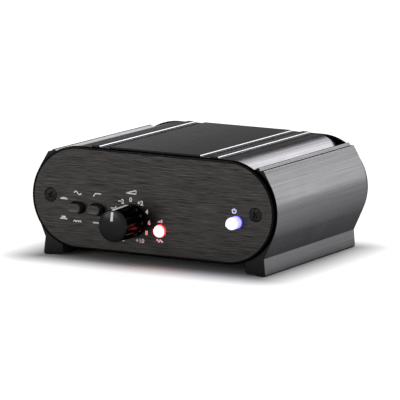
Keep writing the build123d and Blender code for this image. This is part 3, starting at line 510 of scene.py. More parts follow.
@dataclass(frozen=True)
class BandedLacquer(Finish):
    """Lacquered resistor bodies with colour bands across their length."""

    colour: Colour
    first_y: float
    band_pitch: float = 1.05e-3

    def dress(self, paint: Paint) -> None:
        """Bands from Y counted in band pitches, their colour from the band's whole number.

        Args:
            paint: The material under construction.
        """
        grain = paint.effect(Effects.grain(), Scale=2500.0)
        y = paint.add("SeparateXYZ", {0: paint.place}).outputs[1]
        along = paint.math("DIVIDE", paint.math("SUBTRACT", y, self.first_y), self.band_pitch)
        inside = paint.math("LESS_THAN", paint.math("FRACT", along), 0.42)
        hue = paint.add("TexWhiteNoise", {"W": paint.math("FLOOR", along)}, noise_dimensions="1D")
        tinted = {"Hue": 0.5, "Saturation": 1.4, "Value": 0.5, "Color": hue.outputs[1]}
        band = paint.add("HueSaturation", tinted).outputs[0]
        base = paint.mix(inside, paint.shaded(grain["Mask"], self.colour, 0.9, 1.0), band)
        paint.set({"Base Color": base, "Roughness": 0.28, "Normal": paint.bump(grain["Height"], 2e-6, 0.3)})


class Look(NamedTuple):
    """A finish and the record's slot that it stands for."""

    finish: Finish
    slot: str


class Material(Look, Enum):
    """Every shared finish on the preamp, with its slot."""

    SHELL = (
        DrawnMetal(
            "anodised_extrusion",
            (0.22, 0.217, 0.224),
            (2800.0, 12.0, 2800.0),
            0.25,
            contrast=0.14,
            depth=8e-6,
            wear=0.2,
            tint=0.14,
            bright=(0.34, 0.34, 0.345),
            bare=(0.204, 0.204, 0.207),
        ),
        "case_aluminium",
    )
    PANEL = (
        DrawnMetal(
            "brushed_panel",
            (0.0322, 0.03, 0.0291),
            (100.0, 4200.0, 4200.0),
            0.32,
            contrast=1.2,
            depth=3e-6,
            wear=0.1,
            tint=0.3,
        ),
        "panel_black",
    )
    BEZEL = SatinBlack("bezel_black", (0.005, 0.005, 0.0051), 0.16, wear=0.1), "bezel_black"
    # Wear 0.9 on the screws' marked cross rims is bare metal and partly a painted glint.
    SCREW = DrawnMetal("black_screws", (0.014, 0.014, 0.0145), (900.0,) * 3, 0.28, wear=0.9), "screw_black"
    KNOB = SatinBlack("knob_black", (0.015,) * 3, 0.2, depth=2e-6, wear=0.2, glare=0.5), "knob_black"
    POINTER = PrintedInk("pointer_white"), "pointer_white"
    INK = PrintedInk("white_ink"), "pointer_white"
    BUTTON = MouldedPlastic("button_grey", (0.014, 0.014, 0.0145), 0.3), "button_grey"
    PLUNGER = MouldedPlastic("plunger_white", (0.7, 0.69, 0.64), 0.5), "plunger_white"
    SWITCH = MouldedPlastic("switch_black", (0.03,) * 3, 0.5), "switch_black"
    POT = PlatedMetal("pot_metal", (0.5, 0.5, 0.51), 0.32), "pot_metal"
    BUSH = PlatedMetal("bush_nickel", (0.6, 0.58, 0.53), 0.28), "bush_metal"
    STEEL = PlatedMetal("bright_steel", (0.6, 0.6, 0.61), 0.22), "steel_bright"
    LEAD = PlatedMetal("tinned_leads", (0.68, 0.68, 0.69), 0.3), "lead_tin"
    SPACER = MouldedPlastic("spacer_black", (0.03,) * 3, 0.55), "spacer_black"
    BOARD = CircuitBoard("board_green", (0.012, 0.11, 0.045)), "board_green"
    SOCKET = MouldedPlastic("socket_black", (0.012,) * 3, 0.35), "socket_black"
    GOLD = PlatedMetal("gold_plating", (0.9, 0.66, 0.3), 0.2), "shell_gold"
    CONTACT = PlatedMetal("contact_gold", (0.9, 0.66, 0.3), 0.26), "contact_gold"
    WHITE = MouldedPlastic("insulator_white", (0.82, 0.82, 0.8), 0.35), "insulator_white"
    RED = MouldedPlastic("insulator_red", (0.55, 0.02, 0.015), 0.35), "insulator_red"
    CHIP = MouldedPlastic("chip_epoxy", (0.02, 0.02, 0.021), 0.55, depth=6e-6), "chip_black"
    CAN = MouldedPlastic("can_sleeve", (0.015, 0.02, 0.06), 0.3, coat=0.3), "can_sleeve"
    FILM = MouldedPlastic("film_dipped", (0.42, 0.03, 0.015), 0.25, coat=0.4), "film_red"
    RESISTOR = BandedLacquer("resistor_lacquer", (0.2, 0.42, 0.55), -0.0226), "resistor_blue"


def dress_node(node: str, choice: Material) -> None:
    """Put a finish on a CAD node that stays.

    Args:
        node: The node's name.
        choice: The finish.
    """
    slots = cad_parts[node].data.materials
    slots.clear()
    slots.append(material_of(choice.finish))
    LOG.info("dressed node %s with %s", node, choice.name)


# ------------------------------------------------------------------ outlines and grids
class End(Enum):
    """Which end of the case: sign and offset that carry a front y to that end."""

    FRONT = (1.0, 0.0)
    REAR = (-1.0, CASE_LENGTH)

    def y(self, front_y: float | Array) -> float | Array:
        """The y at this end that matches a y at the front."""
        sign, offset = self.value
        return offset + sign * front_y


def arc(centre: Pair, radius: float, first: float, last: float, steps: int) -> Array:
    """Points on a circle: centre plus radius times cosine and sine of evenly spaced angles.

    Args:
        centre: Circle's centre.
        radius: Circle's radius.
        first: First angle in degrees.
        last: Last angle in degrees.
        steps: Number of points.

    Returns:
        Array of shape (steps, 2).
    """
    angle = np.radians(np.linspace(first, last, steps))
    return np.stack([centre[0] + radius * np.cos(angle), centre[1] + radius * np.sin(angle)], 1)


def box(x: float, half_width: float, low: float, high: float) -> Array:
    """Counter-clockwise corners of an upright rectangle about x."""
    left, right = x - half_width, x + half_width
    return np.array([(left, low), (right, low), (right, high), (left, high)])


def chain(*runs: Array | list) -> Array:
    """Join runs of points into one array, leaving out points that repeat the one before."""
    points = np.concatenate([np.asarray(run, float).reshape(-1, 2) for run in runs])
    step = np.linalg.norm(np.diff(points, axis=0), axis=1)
    return points[np.concatenate([[True], step > SAME_POINT])]


def mirrored(half: Array) -> Array:
    """Closed outline from its right half, which starts and ends on x = 0."""
    return np.concatenate([half, half[-2:0:-1] * np.array([-1.0, 1.0])])


def softened(
    corners: Array | list, radius: float, closed: bool = True, steps: int = 4
) -> tuple[Array, Array]:
    """Round every corner that turns by more than 25 degrees.

    Each corner becomes a quadratic Bezier curve from a point before it to a point after
    it: (1-t)^2 start + 2t(1-t) corner + t^2 end, with both points within the radius.

    Args:
        corners: Points of shape (n, 2).
        radius: Distance that the rounding may reach along each side.
        closed: Whether the last point joins the first.
        steps: Number of points on each rounding, less one.

    Returns:
        The new points, and for each an edge mark, 1 inside a rounding and 0 elsewhere.
    """
    outline = np.array(corners, float)
    before = np.roll(outline, 1, 0) - outline
    after = np.roll(outline, -1, 0) - outline
    if not closed:
        before[0], after[-1] = -after[0], -before[-1]
    short, long = np.linalg.norm(before, axis=1), np.linalg.norm(after, axis=1)
    turn = np.sum(before * after, 1) / (short * long)
    reach = np.where(turn > -0.906, np.minimum(radius, 0.42 * np.minimum(short, long)), 0.0)[:, None]
    start = outline + before / short[:, None] * reach
    end = outline + after / long[:, None] * reach
    t = np.linspace(0.0, 1.0, steps + 1)[None, :, None]
    curve = (1 - t) ** 2 * start[:, None] + 2 * t * (1 - t) * outline[:, None] + t**2 * end[:, None]
    marks = np.broadcast_to(np.sin(np.pi * t[..., 0]), curve.shape[:2]) * (reach > 0)
    points, marks = curve.reshape(-1, 2), marks.reshape(-1)
    keep = np.linalg.norm(points - np.roll(points, 1, 0), axis=1) > SAME_POINT
    keep[0] = keep[0] or not closed
    return points[keep], marks[keep]


def inset(outline: Array, distance: float) -> Array:
    """Move each point of a closed counter-clockwise outline inwards along its normal.

    Args:
        outline: Points of shape (n, 2).
        distance: How far they move.

    Returns:
        The moved points.
    """
    before = outline - np.roll(outline, 1, 0)
    after = np.roll(outline, -1, 0) - outline
    tangent = sum(side / np.linalg.norm(side, axis=1)[:, None] for side in (before, after))
    tangent /= np.linalg.norm(tangent, axis=1)[:, None]
    return outline + distance * np.stack([-tangent[:, 1], tangent[:, 0]], 1)


def counter_clockwise(outline: Array) -> Array:
    """The outline turned round if its signed area is negative.

    Args:
        outline: Closed outline.

    Returns:
        The same points, counter-clockwise.
    """
    x, z = outline[:, 0], outline[:, 1]
    area = np.sum(x * np.roll(z, -1) - np.roll(x, -1) * z)
    return outline if area > 0 else outline[::-1]


def triangle_wave(phase: Array) -> Array:
    """0 at whole phases and 1 half-way between them, in straight lines."""
    return np.abs(2 * (phase - np.floor(phase + 0.5)))


def quarter_round(radius: float, steps: int) -> tuple[Array, Array]:
    """Sine and one less cosine over a quarter turn, both times the radius."""
    turn = np.linspace(0.0, QUARTER_TURN, steps)
    return radius * np.sin(turn), radius * (1 - np.cos(turn))


def stadium(profile: Array, place: Pair, spacing: float, end: End, per_end: int) -> Array:
    """Carry a profile of radius and y round a stadium.

    A point is an arc centre plus the profile's radius in the angle's direction; the angle
    turns half round each centre, counter-clockwise.

    Args:
        profile: Rows of radius and y at the front end.
        place: Middle of the stadium, x and z.
        spacing: Distance between the two arc centres.
        end: End of the case.
        per_end: Points on each round end.

    Returns:
        Grid of shape (rows, 2 per_end, 3).
    """
    right = np.linspace(-QUARTER_TURN, QUARTER_TURN, per_end)
    angle = np.concatenate([right, right + math.pi])[None, :]
    centre = np.repeat([spacing / 2, -spacing / 2], per_end)[None, :]
    x = place[0] + centre + profile[:, :1] * np.cos(angle)
    z = place[1] + profile[:, :1] * np.sin(angle)
    return np.stack([x, end.y(np.broadcast_to(profile[:, 1:], x.shape)), z], -1)


def lathe(profile: Array | list, place: Pair, steps: int = 64, rule: RadiusRule | None = None) -> Array:
    """Turn a profile about an axis along Y.

    A point is (x + r cos a, y, z + r sin a), with r and y from the profile and a the
    angle; a rule may change r as a function of the angle, r and y.

    Args:
        profile: Rows of radius and y.
        place: The axis, x and z.
        steps: Columns round the axis.
        rule: Function of the grids of angle, radius and y that gives the new radius.

    Returns:
        Grid of shape (rows, steps, 3).
    """
    angle = np.linspace(0.0, FULL_TURN, steps, endpoint=False)[None, :]
    radius, y = (column[:, None] * np.ones_like(angle) for column in np.array(profile, float).T)
    if rule is not None:
        radius = rule(angle, radius, y)
    return np.stack([place[0] + radius * np.cos(angle), y, place[1] + radius * np.sin(angle)], -1)


# ------------------------------------------------------------------------- pieces
def in_scene(name: str, data: bpy.types.ID) -> bpy.types.Object:
    """Make an object and link it into the scene.

    Args:
        name: The object's name.
        data: Its mesh, lamp, camera or text.

    Returns:
        The object.
    """
    made = bpy.data.objects.new(name, data)
    bpy.context.scene.collection.objects.link(made)
    return made


def make_piece(
    name: str, shape: bmesh.types.BMesh, mesh: bpy.types.Mesh, look: Look, body: str, smooth: bool = True
) -> bpy.types.Object:
    """Weld a shape, write it into its mesh and attach the piece.

    Args:
        name: The piece's name.
        shape: The shape, freed here.
        mesh: The mesh that receives it.
        look: The finish.
        body: CAD body that the piece rides on.
        smooth: Whether faces are cleaned, turned outwards and shaded smooth.

    Returns:
        The piece.
    """
    bmesh.ops.remove_doubles(shape, verts=shape.verts, dist=WELD_DISTANCE)
    if smooth:
        bmesh.ops.dissolve_degenerate(shape, edges=shape.edges, dist=WELD_DISTANCE)
        bmesh.ops.recalc_face_normals(shape, faces=shape.faces)
    open_edges = sum(1 for edge in shape.edges if len(edge.link_faces) != 2)
    shape.to_mesh(mesh)
    shape.free()
    if smooth:
        mesh.polygons.foreach_set("use_smooth", np.ones(len(mesh.polygons), bool))
        mesh.set_sharp_from_angle(angle=SHARP_ANGLE)
    mesh.materials.clear()
    mesh.materials.append(material_of(look.finish))
    piece = in_scene(name, mesh)
    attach(piece, body)
    LOG.info("%s: %d faces, %d open edges, rides on %s", name, len(mesh.polygons), open_edges, body)
    return piece


@dataclass
class Skin:
    """Surfaces gathered into one mesh, with edge and tone marks."""

    name: str
    points: list[Array] = field(default_factory=list)
    faces: list[list[int]] = field(default_factory=list)
    edges: list[Array] = field(default_factory=list)
    tones: list[float] = field(default_factory=list)
    count: int = 0

    def add_points(self, points: Array, edge: Array | float = 0.0) -> int:
        """Store points in millimetres.

        Args:
            points: Array whose last axis has three parts.
            edge: Edge mark for all, for each row or for each point.

        Returns:
            The index of the first.
        """
        marks = np.asarray(edge, float)
        marks = marks[:, None] if marks.ndim == 1 else marks
        self.edges.append(np.broadcast_to(marks, points.shape[:-1]).reshape(-1))
        self.points.append(points.reshape(-1, 3))
        first = self.count
        self.count += len(self.points[-1])
        return first

    def grid(
        self,
        points: Array,
        wrap_u: bool = False,
        wrap_v: bool = True,
        edge: Array | float = 0.0,
        tone: Array | float = 0.0,
    ) -> "Skin":
        """Add a surface given as a grid: four neighbours on the grid make a face.

        Args:
            points: Array of shape (rows, columns, 3).
            wrap_u: Whether the last row joins the first.
            wrap_v: Whether the last column joins the first.
            edge: Edge mark for all, for each row or for each point.
            tone: Tone mark for each face, or one for all.

        Returns:
            This skin.
        """
        rows, columns = points.shape[:2]
        first = self.add_points(points, edge)
        u = np.arange(rows if wrap_u else rows - 1)[:, None]
        v = np.arange(columns if wrap_v else columns - 1)[None, :]
        row, next_row, right = u * columns, (u + 1) % rows * columns, (v + 1) % columns
        quads = np.stack([row + v, row + right, next_row + right, next_row + v], -1)
        self.faces.extend((quads.reshape(-1, 4) + first).tolist())
        self.tones.extend(np.broadcast_to(np.asarray(tone, float), quads.shape[:2]).reshape(-1).tolist())
        return self

    def cap(self, rim: Array) -> None:
        """Close a rim of points by one face.

        Args:
            rim: Points of shape (n, 3), in order round the rim.
        """
        first = self.add_points(rim)
        self.faces.append(list(range(first, first + len(rim))))
        self.tones.append(0.0)

    def lid(self, loops: list[Array], y: float, tone: float = 0.0) -> None:
        """Close flat loops at one y by triangles, the first loop outside and the rest holes.

        Args:
            loops: Points of x and z.
            y: The lid's place.
            tone: Tone mark of the lid.
        """
        triangles = tessellate_polygon([[Vector((x, z, 0.0)) for x, z in loop] for loop in loops])
        first = self.add_points(np.insert(np.concatenate(loops), 1, y, 1))
        self.faces.extend([[first + i for i in triangle] for triangle in triangles])
        self.tones.extend([tone] * len(triangles))

    def turn(
        self, corners: list, place: Pair, soft: float = 0.12, closed: bool = False, steps: int = 64
    ) -> "Skin":
        """Add a turned surface: corners rounded, then turned about Y.

        Args:
            corners: Rows of radius and y; open profiles start and end on the axis.
            place: The axis, x and z.
            soft: Rounding of the corners.
            closed: Whether the profile is a ring's closed section.
            steps: Columns round the axis.

        Returns:
            This skin.
        """
        profile, marks = softened(corners, soft, closed)
        return self.grid(lathe(profile, place, steps), closed, edge=marks)

    def extrude(
        self,
        outline: Array,
        front: float,
        back: float,
        marks: Array | float = 0.0,
        holes: tuple[Array, ...] = (),
        bevel: float = 0.12,
        tone: Array | float = 0.0,
        end_shade_tone: float = 0.0,
    ) -> "Skin":
        """Carry a closed outline along Y, with bevelled ends and flat lids.

        Rows lie at both ends, inset by the bevel, and one bevel's length inside them.

        Args:
            outline: Closed outline of x and z.
            front: First y.
            back: Last y.
            marks: Edge marks of the outline's points.
            holes: Closed outlines of holes.
            bevel: Size of the bevel.
            tone: Tone of each strip of the outline.
            end_shade_tone: Tone of the ends; a negative tone darkens them as painted shade.

        Returns:
            This skin.
        """
        stations = np.array([front, front + bevel, back - bevel, back])[:, None]
        loops = []
        for index, loop in enumerate((outline, *holes)):
            outer = index == 0
            inner = inset(loop, bevel if outer else -bevel)
            flat = np.stack([inner, loop, loop, inner])
            points = np.stack([flat[..., 0], np.broadcast_to(stations, flat.shape[:2]), flat[..., 1]], -1)
            # The end bevels and lids carry the end tone; a negative one is painted shade.
            edge, strips = np.full((4, len(loop)), 0.6), np.full((3, len(loop)), end_shade_tone)
            edge[1:3], strips[1] = (marks, tone) if outer else (0.0, 0.0)
            self.grid(points, edge=edge, tone=strips)
            loops.append(inner)
        for y in (front, back):
            self.lid(loops, y, end_shade_tone)
        return self

    def build(self, look: Look, body: str, *replaces: str) -> bpy.types.Object:
        """Weld the surfaces, point the faces outwards and make the piece.

        Args:
            look: The finish and its slot.
            body: CAD body that the piece rides on.
            *replaces: CAD nodes that the piece stands for.

        Returns:
            The finished object.
        """
        mesh = bpy.data.meshes.new(self.name)
        mesh.from_pydata(in_frame(np.concatenate(self.points)).tolist(), [], self.faces)
        mesh.attributes.new("edge", "FLOAT", "POINT").data.foreach_set("value", np.concatenate(self.edges))
        mesh.attributes.new("tone", "FLOAT", "FACE").data.foreach_set("value", np.array(self.tones))
        shape = bmesh.new()
        shape.from_mesh(mesh)
        piece = make_piece(self.name, shape, mesh, look, body)
        if replaces:
            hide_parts(*replaces)
        return piece


# --------------------------------------------------------------------------- case
@dataclass
class CaseShells:
    """Lower shell and top cover, two interlocking extrusions."""

    length: float = CASE_LENGTH
    arc_x: float = 34.0
    outer: float = 21.0
    cavity: float = 19.0
    shoulder: Pair = (33.0, 8.9)
    shoulder_radius: float = 12.0
    cover_wall: float = 1.9
    cover_gap: float = 0.1
    edge_angle: float = 22.0
    deck_top: float = 21.7
    deck_floor: float = 20.9
    deck_edge: float = 20.8
    ridge: Pair = (25.1, 28.8)
    chamfer: float = 0.3
    flank_x: float = 31.5
    flank_radius: float = 24.0
    flank_lean: Pair = (-24.0, 30.0)
    waist_z: float = -17.7
    ledge_z: float = 17.6
    lip_z: float = 18.6
    foot: tuple[float, float, float] = (-25.0, -24.3, -23.6)
    port_x: float = 46.6
    port_radius: float = 1.55
    port_outer: float = 3.0
    port_web: float = 1.2
    slot_inner: float = 42.6
    board: Pair = (-15.8, -14.0)
    rib_top: float = -12.8
    bevel: float = 0.15

    def cavity_run(self, first: float, last: float, steps: int = 10) -> Array:
        """The inner wall from one height to another, along its circle.

        Args:
            first: First height.
            last: Last height.
            steps: Number of points.

        Returns:
            Points of x and z.
        """
        angles = [math.degrees(math.asin(z / self.cavity)) for z in (first, last)]
        return arc((self.arc_x, 0.0), self.cavity, *angles, steps)

    def outside(self) -> Array:
        """Right half of the lower shell's outside, from the bottom to the lip."""
        low, high = (math.radians(a) for a in self.flank_lean)
        low_end, high_end = arc((self.flank_x, 0), self.flank_radius, *self.flank_lean, 2)
        waist = (low_end[0] - (low_end[1] - self.waist_z) * math.tan(-low), self.waist_z)
        corner = (high_end[0] - (self.ledge_z - high_end[1]) * math.tan(high), self.ledge_z)
        sole, groove, foot_top = self.foot
        foot_out = waist[0] + 0.7
        foot_in = foot_out - 9.0
        foot_angle = -math.degrees(math.acos((foot_in - self.arc_x) / self.outer))
        ledge_in = corner[0] - 1.5
        lip_out, lip_crest, lip_in = ledge_in - 0.65, ledge_in - 1.5, ledge_in - 4.8
        seat = self.shoulder_radius + self.cover_gap
        lip_angle = math.degrees(math.acos((lip_in - self.shoulder[0]) / seat))
        lip_edge = self.shoulder[1] + seat * math.sin(math.radians(lip_angle)) + 0.5
        return chain(
            [(0, -21), (21.5, -21), (21.5, -21.8), (25.1, -21.8), (25.1, -21), (self.arc_x, -21)],
            arc((self.arc_x, 0), self.outer, -90, foot_angle, 12),
            [(foot_in, foot_top), (foot_in + 0.7, groove), (foot_out - 3.9, groove), (foot_out - 3.2, sole)],
            [(foot_out - 0.6, sole), (foot_out, sole + 0.6), waist],
            arc((self.flank_x, 0), self.flank_radius, *self.flank_lean, 40),
            [corner, (ledge_in, self.ledge_z), (lip_out, self.lip_z)],
            [(lip_crest, self.lip_z), (lip_in, lip_edge)],
            arc(self.shoulder, seat, lip_angle, self.edge_angle, 10),
        )

    def inside(self) -> Array:
        """Right half of the lower shell's inside, from the seat to the bottom."""
        wall = self.shoulder_radius - self.cover_wall
        seat = arc(self.shoulder, wall, self.edge_angle, self.edge_angle, 1)[0]
        under_seat = seat[1] - 1.6
        slot_foot = -math.sqrt(self.cavity**2 - (self.slot_inner - self.arc_x) ** 2)
        web_angle = math.degrees(math.asin(self.port_web / self.port_outer))
        return chain(
            [seat, (seat[0], under_seat)],
            self.cavity_run(under_seat, self.port_web),
            arc((self.port_x, 0), self.port_outer, web_angle, 360 - web_angle, 28),
            self.cavity_run(-self.port_web, self.rib_top),
            [(self.slot_inner, self.rib_top), (self.slot_inner, self.board[1])],
            self.cavity_run(self.board[1], self.board[0], 4),
            [(self.slot_inner, self.board[0])],
            self.cavity_run(slot_foot, -18.9, 8),
            [(self.arc_x, -self.cavity), (0, -self.cavity)],
        )

    def build_lower_shell(self) -> None:
        """Extrude the whole section; the ends are darkened by painted shade."""
        outline = counter_clockwise(mirrored(chain(self.outside(), self.inside())))
        outline, marks = softened(outline, 0.16)
        ports = [arc((x, 0), self.port_radius, 360, 11.25, 32) for x in (-self.port_x, self.port_x)]
        ports = tuple(counter_clockwise(port) for port in ports)
        skin = Skin("lower_shell_extrusion")
        # Tone -1 on both ends paints shade there.
        skin.extrude(outline, 0.0, self.length, marks, ports, self.bevel, end_shade_tone=-1.0)
        skin.build(Material.SHELL, CASE, "lower_shell")

    def build_top_cover(self) -> None:
        """Extrude the cover; the small chamfers of its deck and ridges are bright-cut, and its ends are
        darkened by painted shade.
        """
        low, high = self.ridge
        top, floor, edge, cut = self.deck_top, self.deck_floor, self.deck_edge, self.chamfer
        half = chain(
            [(0, top), (edge - cut, top), (edge, top - cut), (edge, floor)],
            [(low, floor), (low, top - cut), (low + cut, top)],
            [(high - cut, top), (high, top - cut), (high, floor)],
            arc(self.shoulder, self.shoulder_radius, 90, self.edge_angle, 30),
            arc(self.shoulder, self.shoulder_radius - self.cover_wall, self.edge_angle, 90, 24),
            [(0, self.cavity)],
        )
        outline, marks = softened(counter_clockwise(mirrored(half)), 0.08)
        following = np.roll(outline, -1, 0)
        step = np.abs(following - outline)
        raised = (following + outline)[:, 1] / 2 > top - cut
        slanted = (np.abs(step[:, 1] - step[:, 0]) < 0.02) & (step[:, 0] > 0.1) & raised
        skin = Skin("top_cover_extrusion")
        tone = slanted.astype(float)
        # Tone -1 on both ends paints shade there.
        skin.extrude(outline, 0.0, self.length, marks, (), self.bevel, tone, end_shade_tone=-1.0)
        skin.build(Material.SHELL, CASE, "top_cover")


@dataclass
class EndFrame:
    """Bezel ring, its tabs and ears, and the two panel screws of one end."""

    end: End
    spacing: float = 68.0
    outer: float = 21.0
    window: float = 17.8
    recess: float = 20.1
    rim_y: float = -2.2
    web_y: float = -0.8
    tab_x: float = 20.0
    tab_half: float = 6.0
    tab_z: Pair = (17.45, 18.85)
    tab_back: float = 4.0
    ear_radius: float = 3.8
    ear_hole: float = 2.225
    ear_end: float = 52.4
    screw_x: float = 46.6
    screw_y: float = -1.75
    head_radius: float = 2.7
    shank_radius: float = 1.5
    thread_depth: float = 0.2
    thread_pitch: float = 0.6
    screw_length: float = 9.0
    cross: tuple[float, float, float] = (0.34, 1.5, 1.0)

    def __post_init__(self) -> None:
        """Note the end's name as the pieces say it."""
        self.label = self.end.name.lower()

    def build_bezel(self) -> None:
        """Carry the ring's section round the stadium, then add tabs and ears."""
        section = [
            (self.outer, 0.0),
            (self.outer, self.rim_y + 0.45),
            (self.outer - 0.13, self.rim_y + 0.13),
            (self.outer - 0.45, self.rim_y),
            (self.recess, self.rim_y),
            (self.recess, self.web_y),
            (self.window, self.web_y),
            (self.window, 0.0),
        ]
        profile, marks = softened(section, 0.12)
        skin = Skin(f"{self.label}_bezel_ring")
        skin.grid(stadium(profile, (0.0, 0.0), self.spacing, self.end, 48), True, edge=marks)
        ends = sorted(self.end.y(np.array([self.web_y, self.tab_back])))
        for x in (-self.tab_x, self.tab_x):
            for side in (-1, 1):
                low, high = sorted(side * z for z in self.tab_z)
                outline, tab_marks = softened(box(x, self.tab_half, low, high), 0.2)
                skin.extrude(outline, *ends, tab_marks, bevel=0.2)
        ends = sorted(self.end.y(np.array([self.web_y, -0.02])))
        radius, reach = self.ear_radius, self.ear_end
        for side in (-1, 1):
            ear = chain(arc((self.screw_x, 0), radius, 90, 270, 24), [(reach, -radius), (reach, radius)])
            hole = arc((side * self.screw_x, 0), self.ear_hole, 0, 348.75, 32)
            skin.extrude(counter_clockwise(ear * [side, 1]), *ends, holes=(hole,), bevel=0.05)
        skin.build(Material.BEZEL, CASE, f"{self.label}_bezel")

    def head_face(self, x: float, turn: float) -> tuple[Array, Array]:
        """Screw's top: polar grid pressed in by a tapered cross.

        The depth is the cross's depth times a smooth step of how far the point lies
        inside the nearer arm, whose width narrows with depth.

        Args:
            x: Screw's axis.
            turn: Angle of the cross in degrees.

        Returns:
            Grid from the rim to the centre, and edge marks on the cross's rim, where the screws' heavy wear
            shows bare metal that also serves as a painted glint.
        """
        half_width, reach, depth = self.cross
        rim = self.head_radius - 0.12
        radius = np.linspace(rim, 0.0, 34)[:, None]
        angle = np.linspace(0.0, FULL_TURN, 96, endpoint=False)[None, :]
        u = np.abs(radius * np.cos(angle + math.radians(turn)))
        v = np.abs(radius * np.sin(angle + math.radians(turn)))
        across, along = np.minimum(u, v), np.maximum(u, v)
        inside = np.clip((half_width - across) / 0.12, 0, 1) * np.clip((reach - along) / 0.25, 0, 1)
        inside = np.maximum(inside, np.clip((0.75 - np.hypot(u, v)) / 0.3, 0, 1))
        dome = 0.1 * (1 - (radius / rim) ** 2)
        y = self.end.y(self.screw_y - dome + depth * inside**2 * (3 - 2 * inside))
        grid = np.stack([x + radius * np.cos(angle), y, radius * np.sin(angle)], -1)
        return grid, 4.0 * inside * (1.0 - inside)

    def thread(self, angle: Array, radius: Array, y: Array) -> Array:
        """Screw thread: below the head the radius drops by a triangle wave along the helix.

        Args:
            angle: Angles round the axis.
            radius: Plain radii.
            y: Places along the axis.

        Returns:
            The radii with the thread.
        """
        phase = (y - self.end.y(self.screw_y)) / self.thread_pitch - angle / FULL_TURN
        threaded = np.abs(radius - self.shank_radius) < SAME_POINT
        return radius - np.where(threaded, self.thread_depth, 0.0) * triangle_wave(phase)

    def build_screws(self) -> None:
        """Both countersunk screws: crossed head, cone, threaded shank and point."""
        core = self.shank_radius - self.thread_depth
        cone_end = self.screw_y + self.head_radius - self.shank_radius
        tip = self.screw_y + self.screw_length
        rows = [(self.head_radius - 0.12, self.screw_y), (self.head_radius, self.screw_y + 0.1)]
        rows += [(core, cone_end)]
        rows += [(self.shank_radius, y) for y in np.linspace(cone_end + 0.2, tip - 0.8, 84)]
        profile = np.array([*rows, (core, tip - 0.6), (0.7, tip), (0.0, tip)])
        profile[:, 1] = self.end.y(profile[:, 1])
        skin = Skin(f"{self.label}_panel_screw_pair")
        for x, turn in ((-self.screw_x, 18.0), (self.screw_x, 52.0)):
            skin.grid(lathe(profile, (x, 0.0), 96, self.thread))
            face, rim = self.head_face(x, turn)
            # The cross rim's edge mark, under heavy wear, is partly a painted glint.
            skin.grid(face, edge=rim)
        skin.build(Material.SCREW, CASE, f"{self.label}_panel_screws")


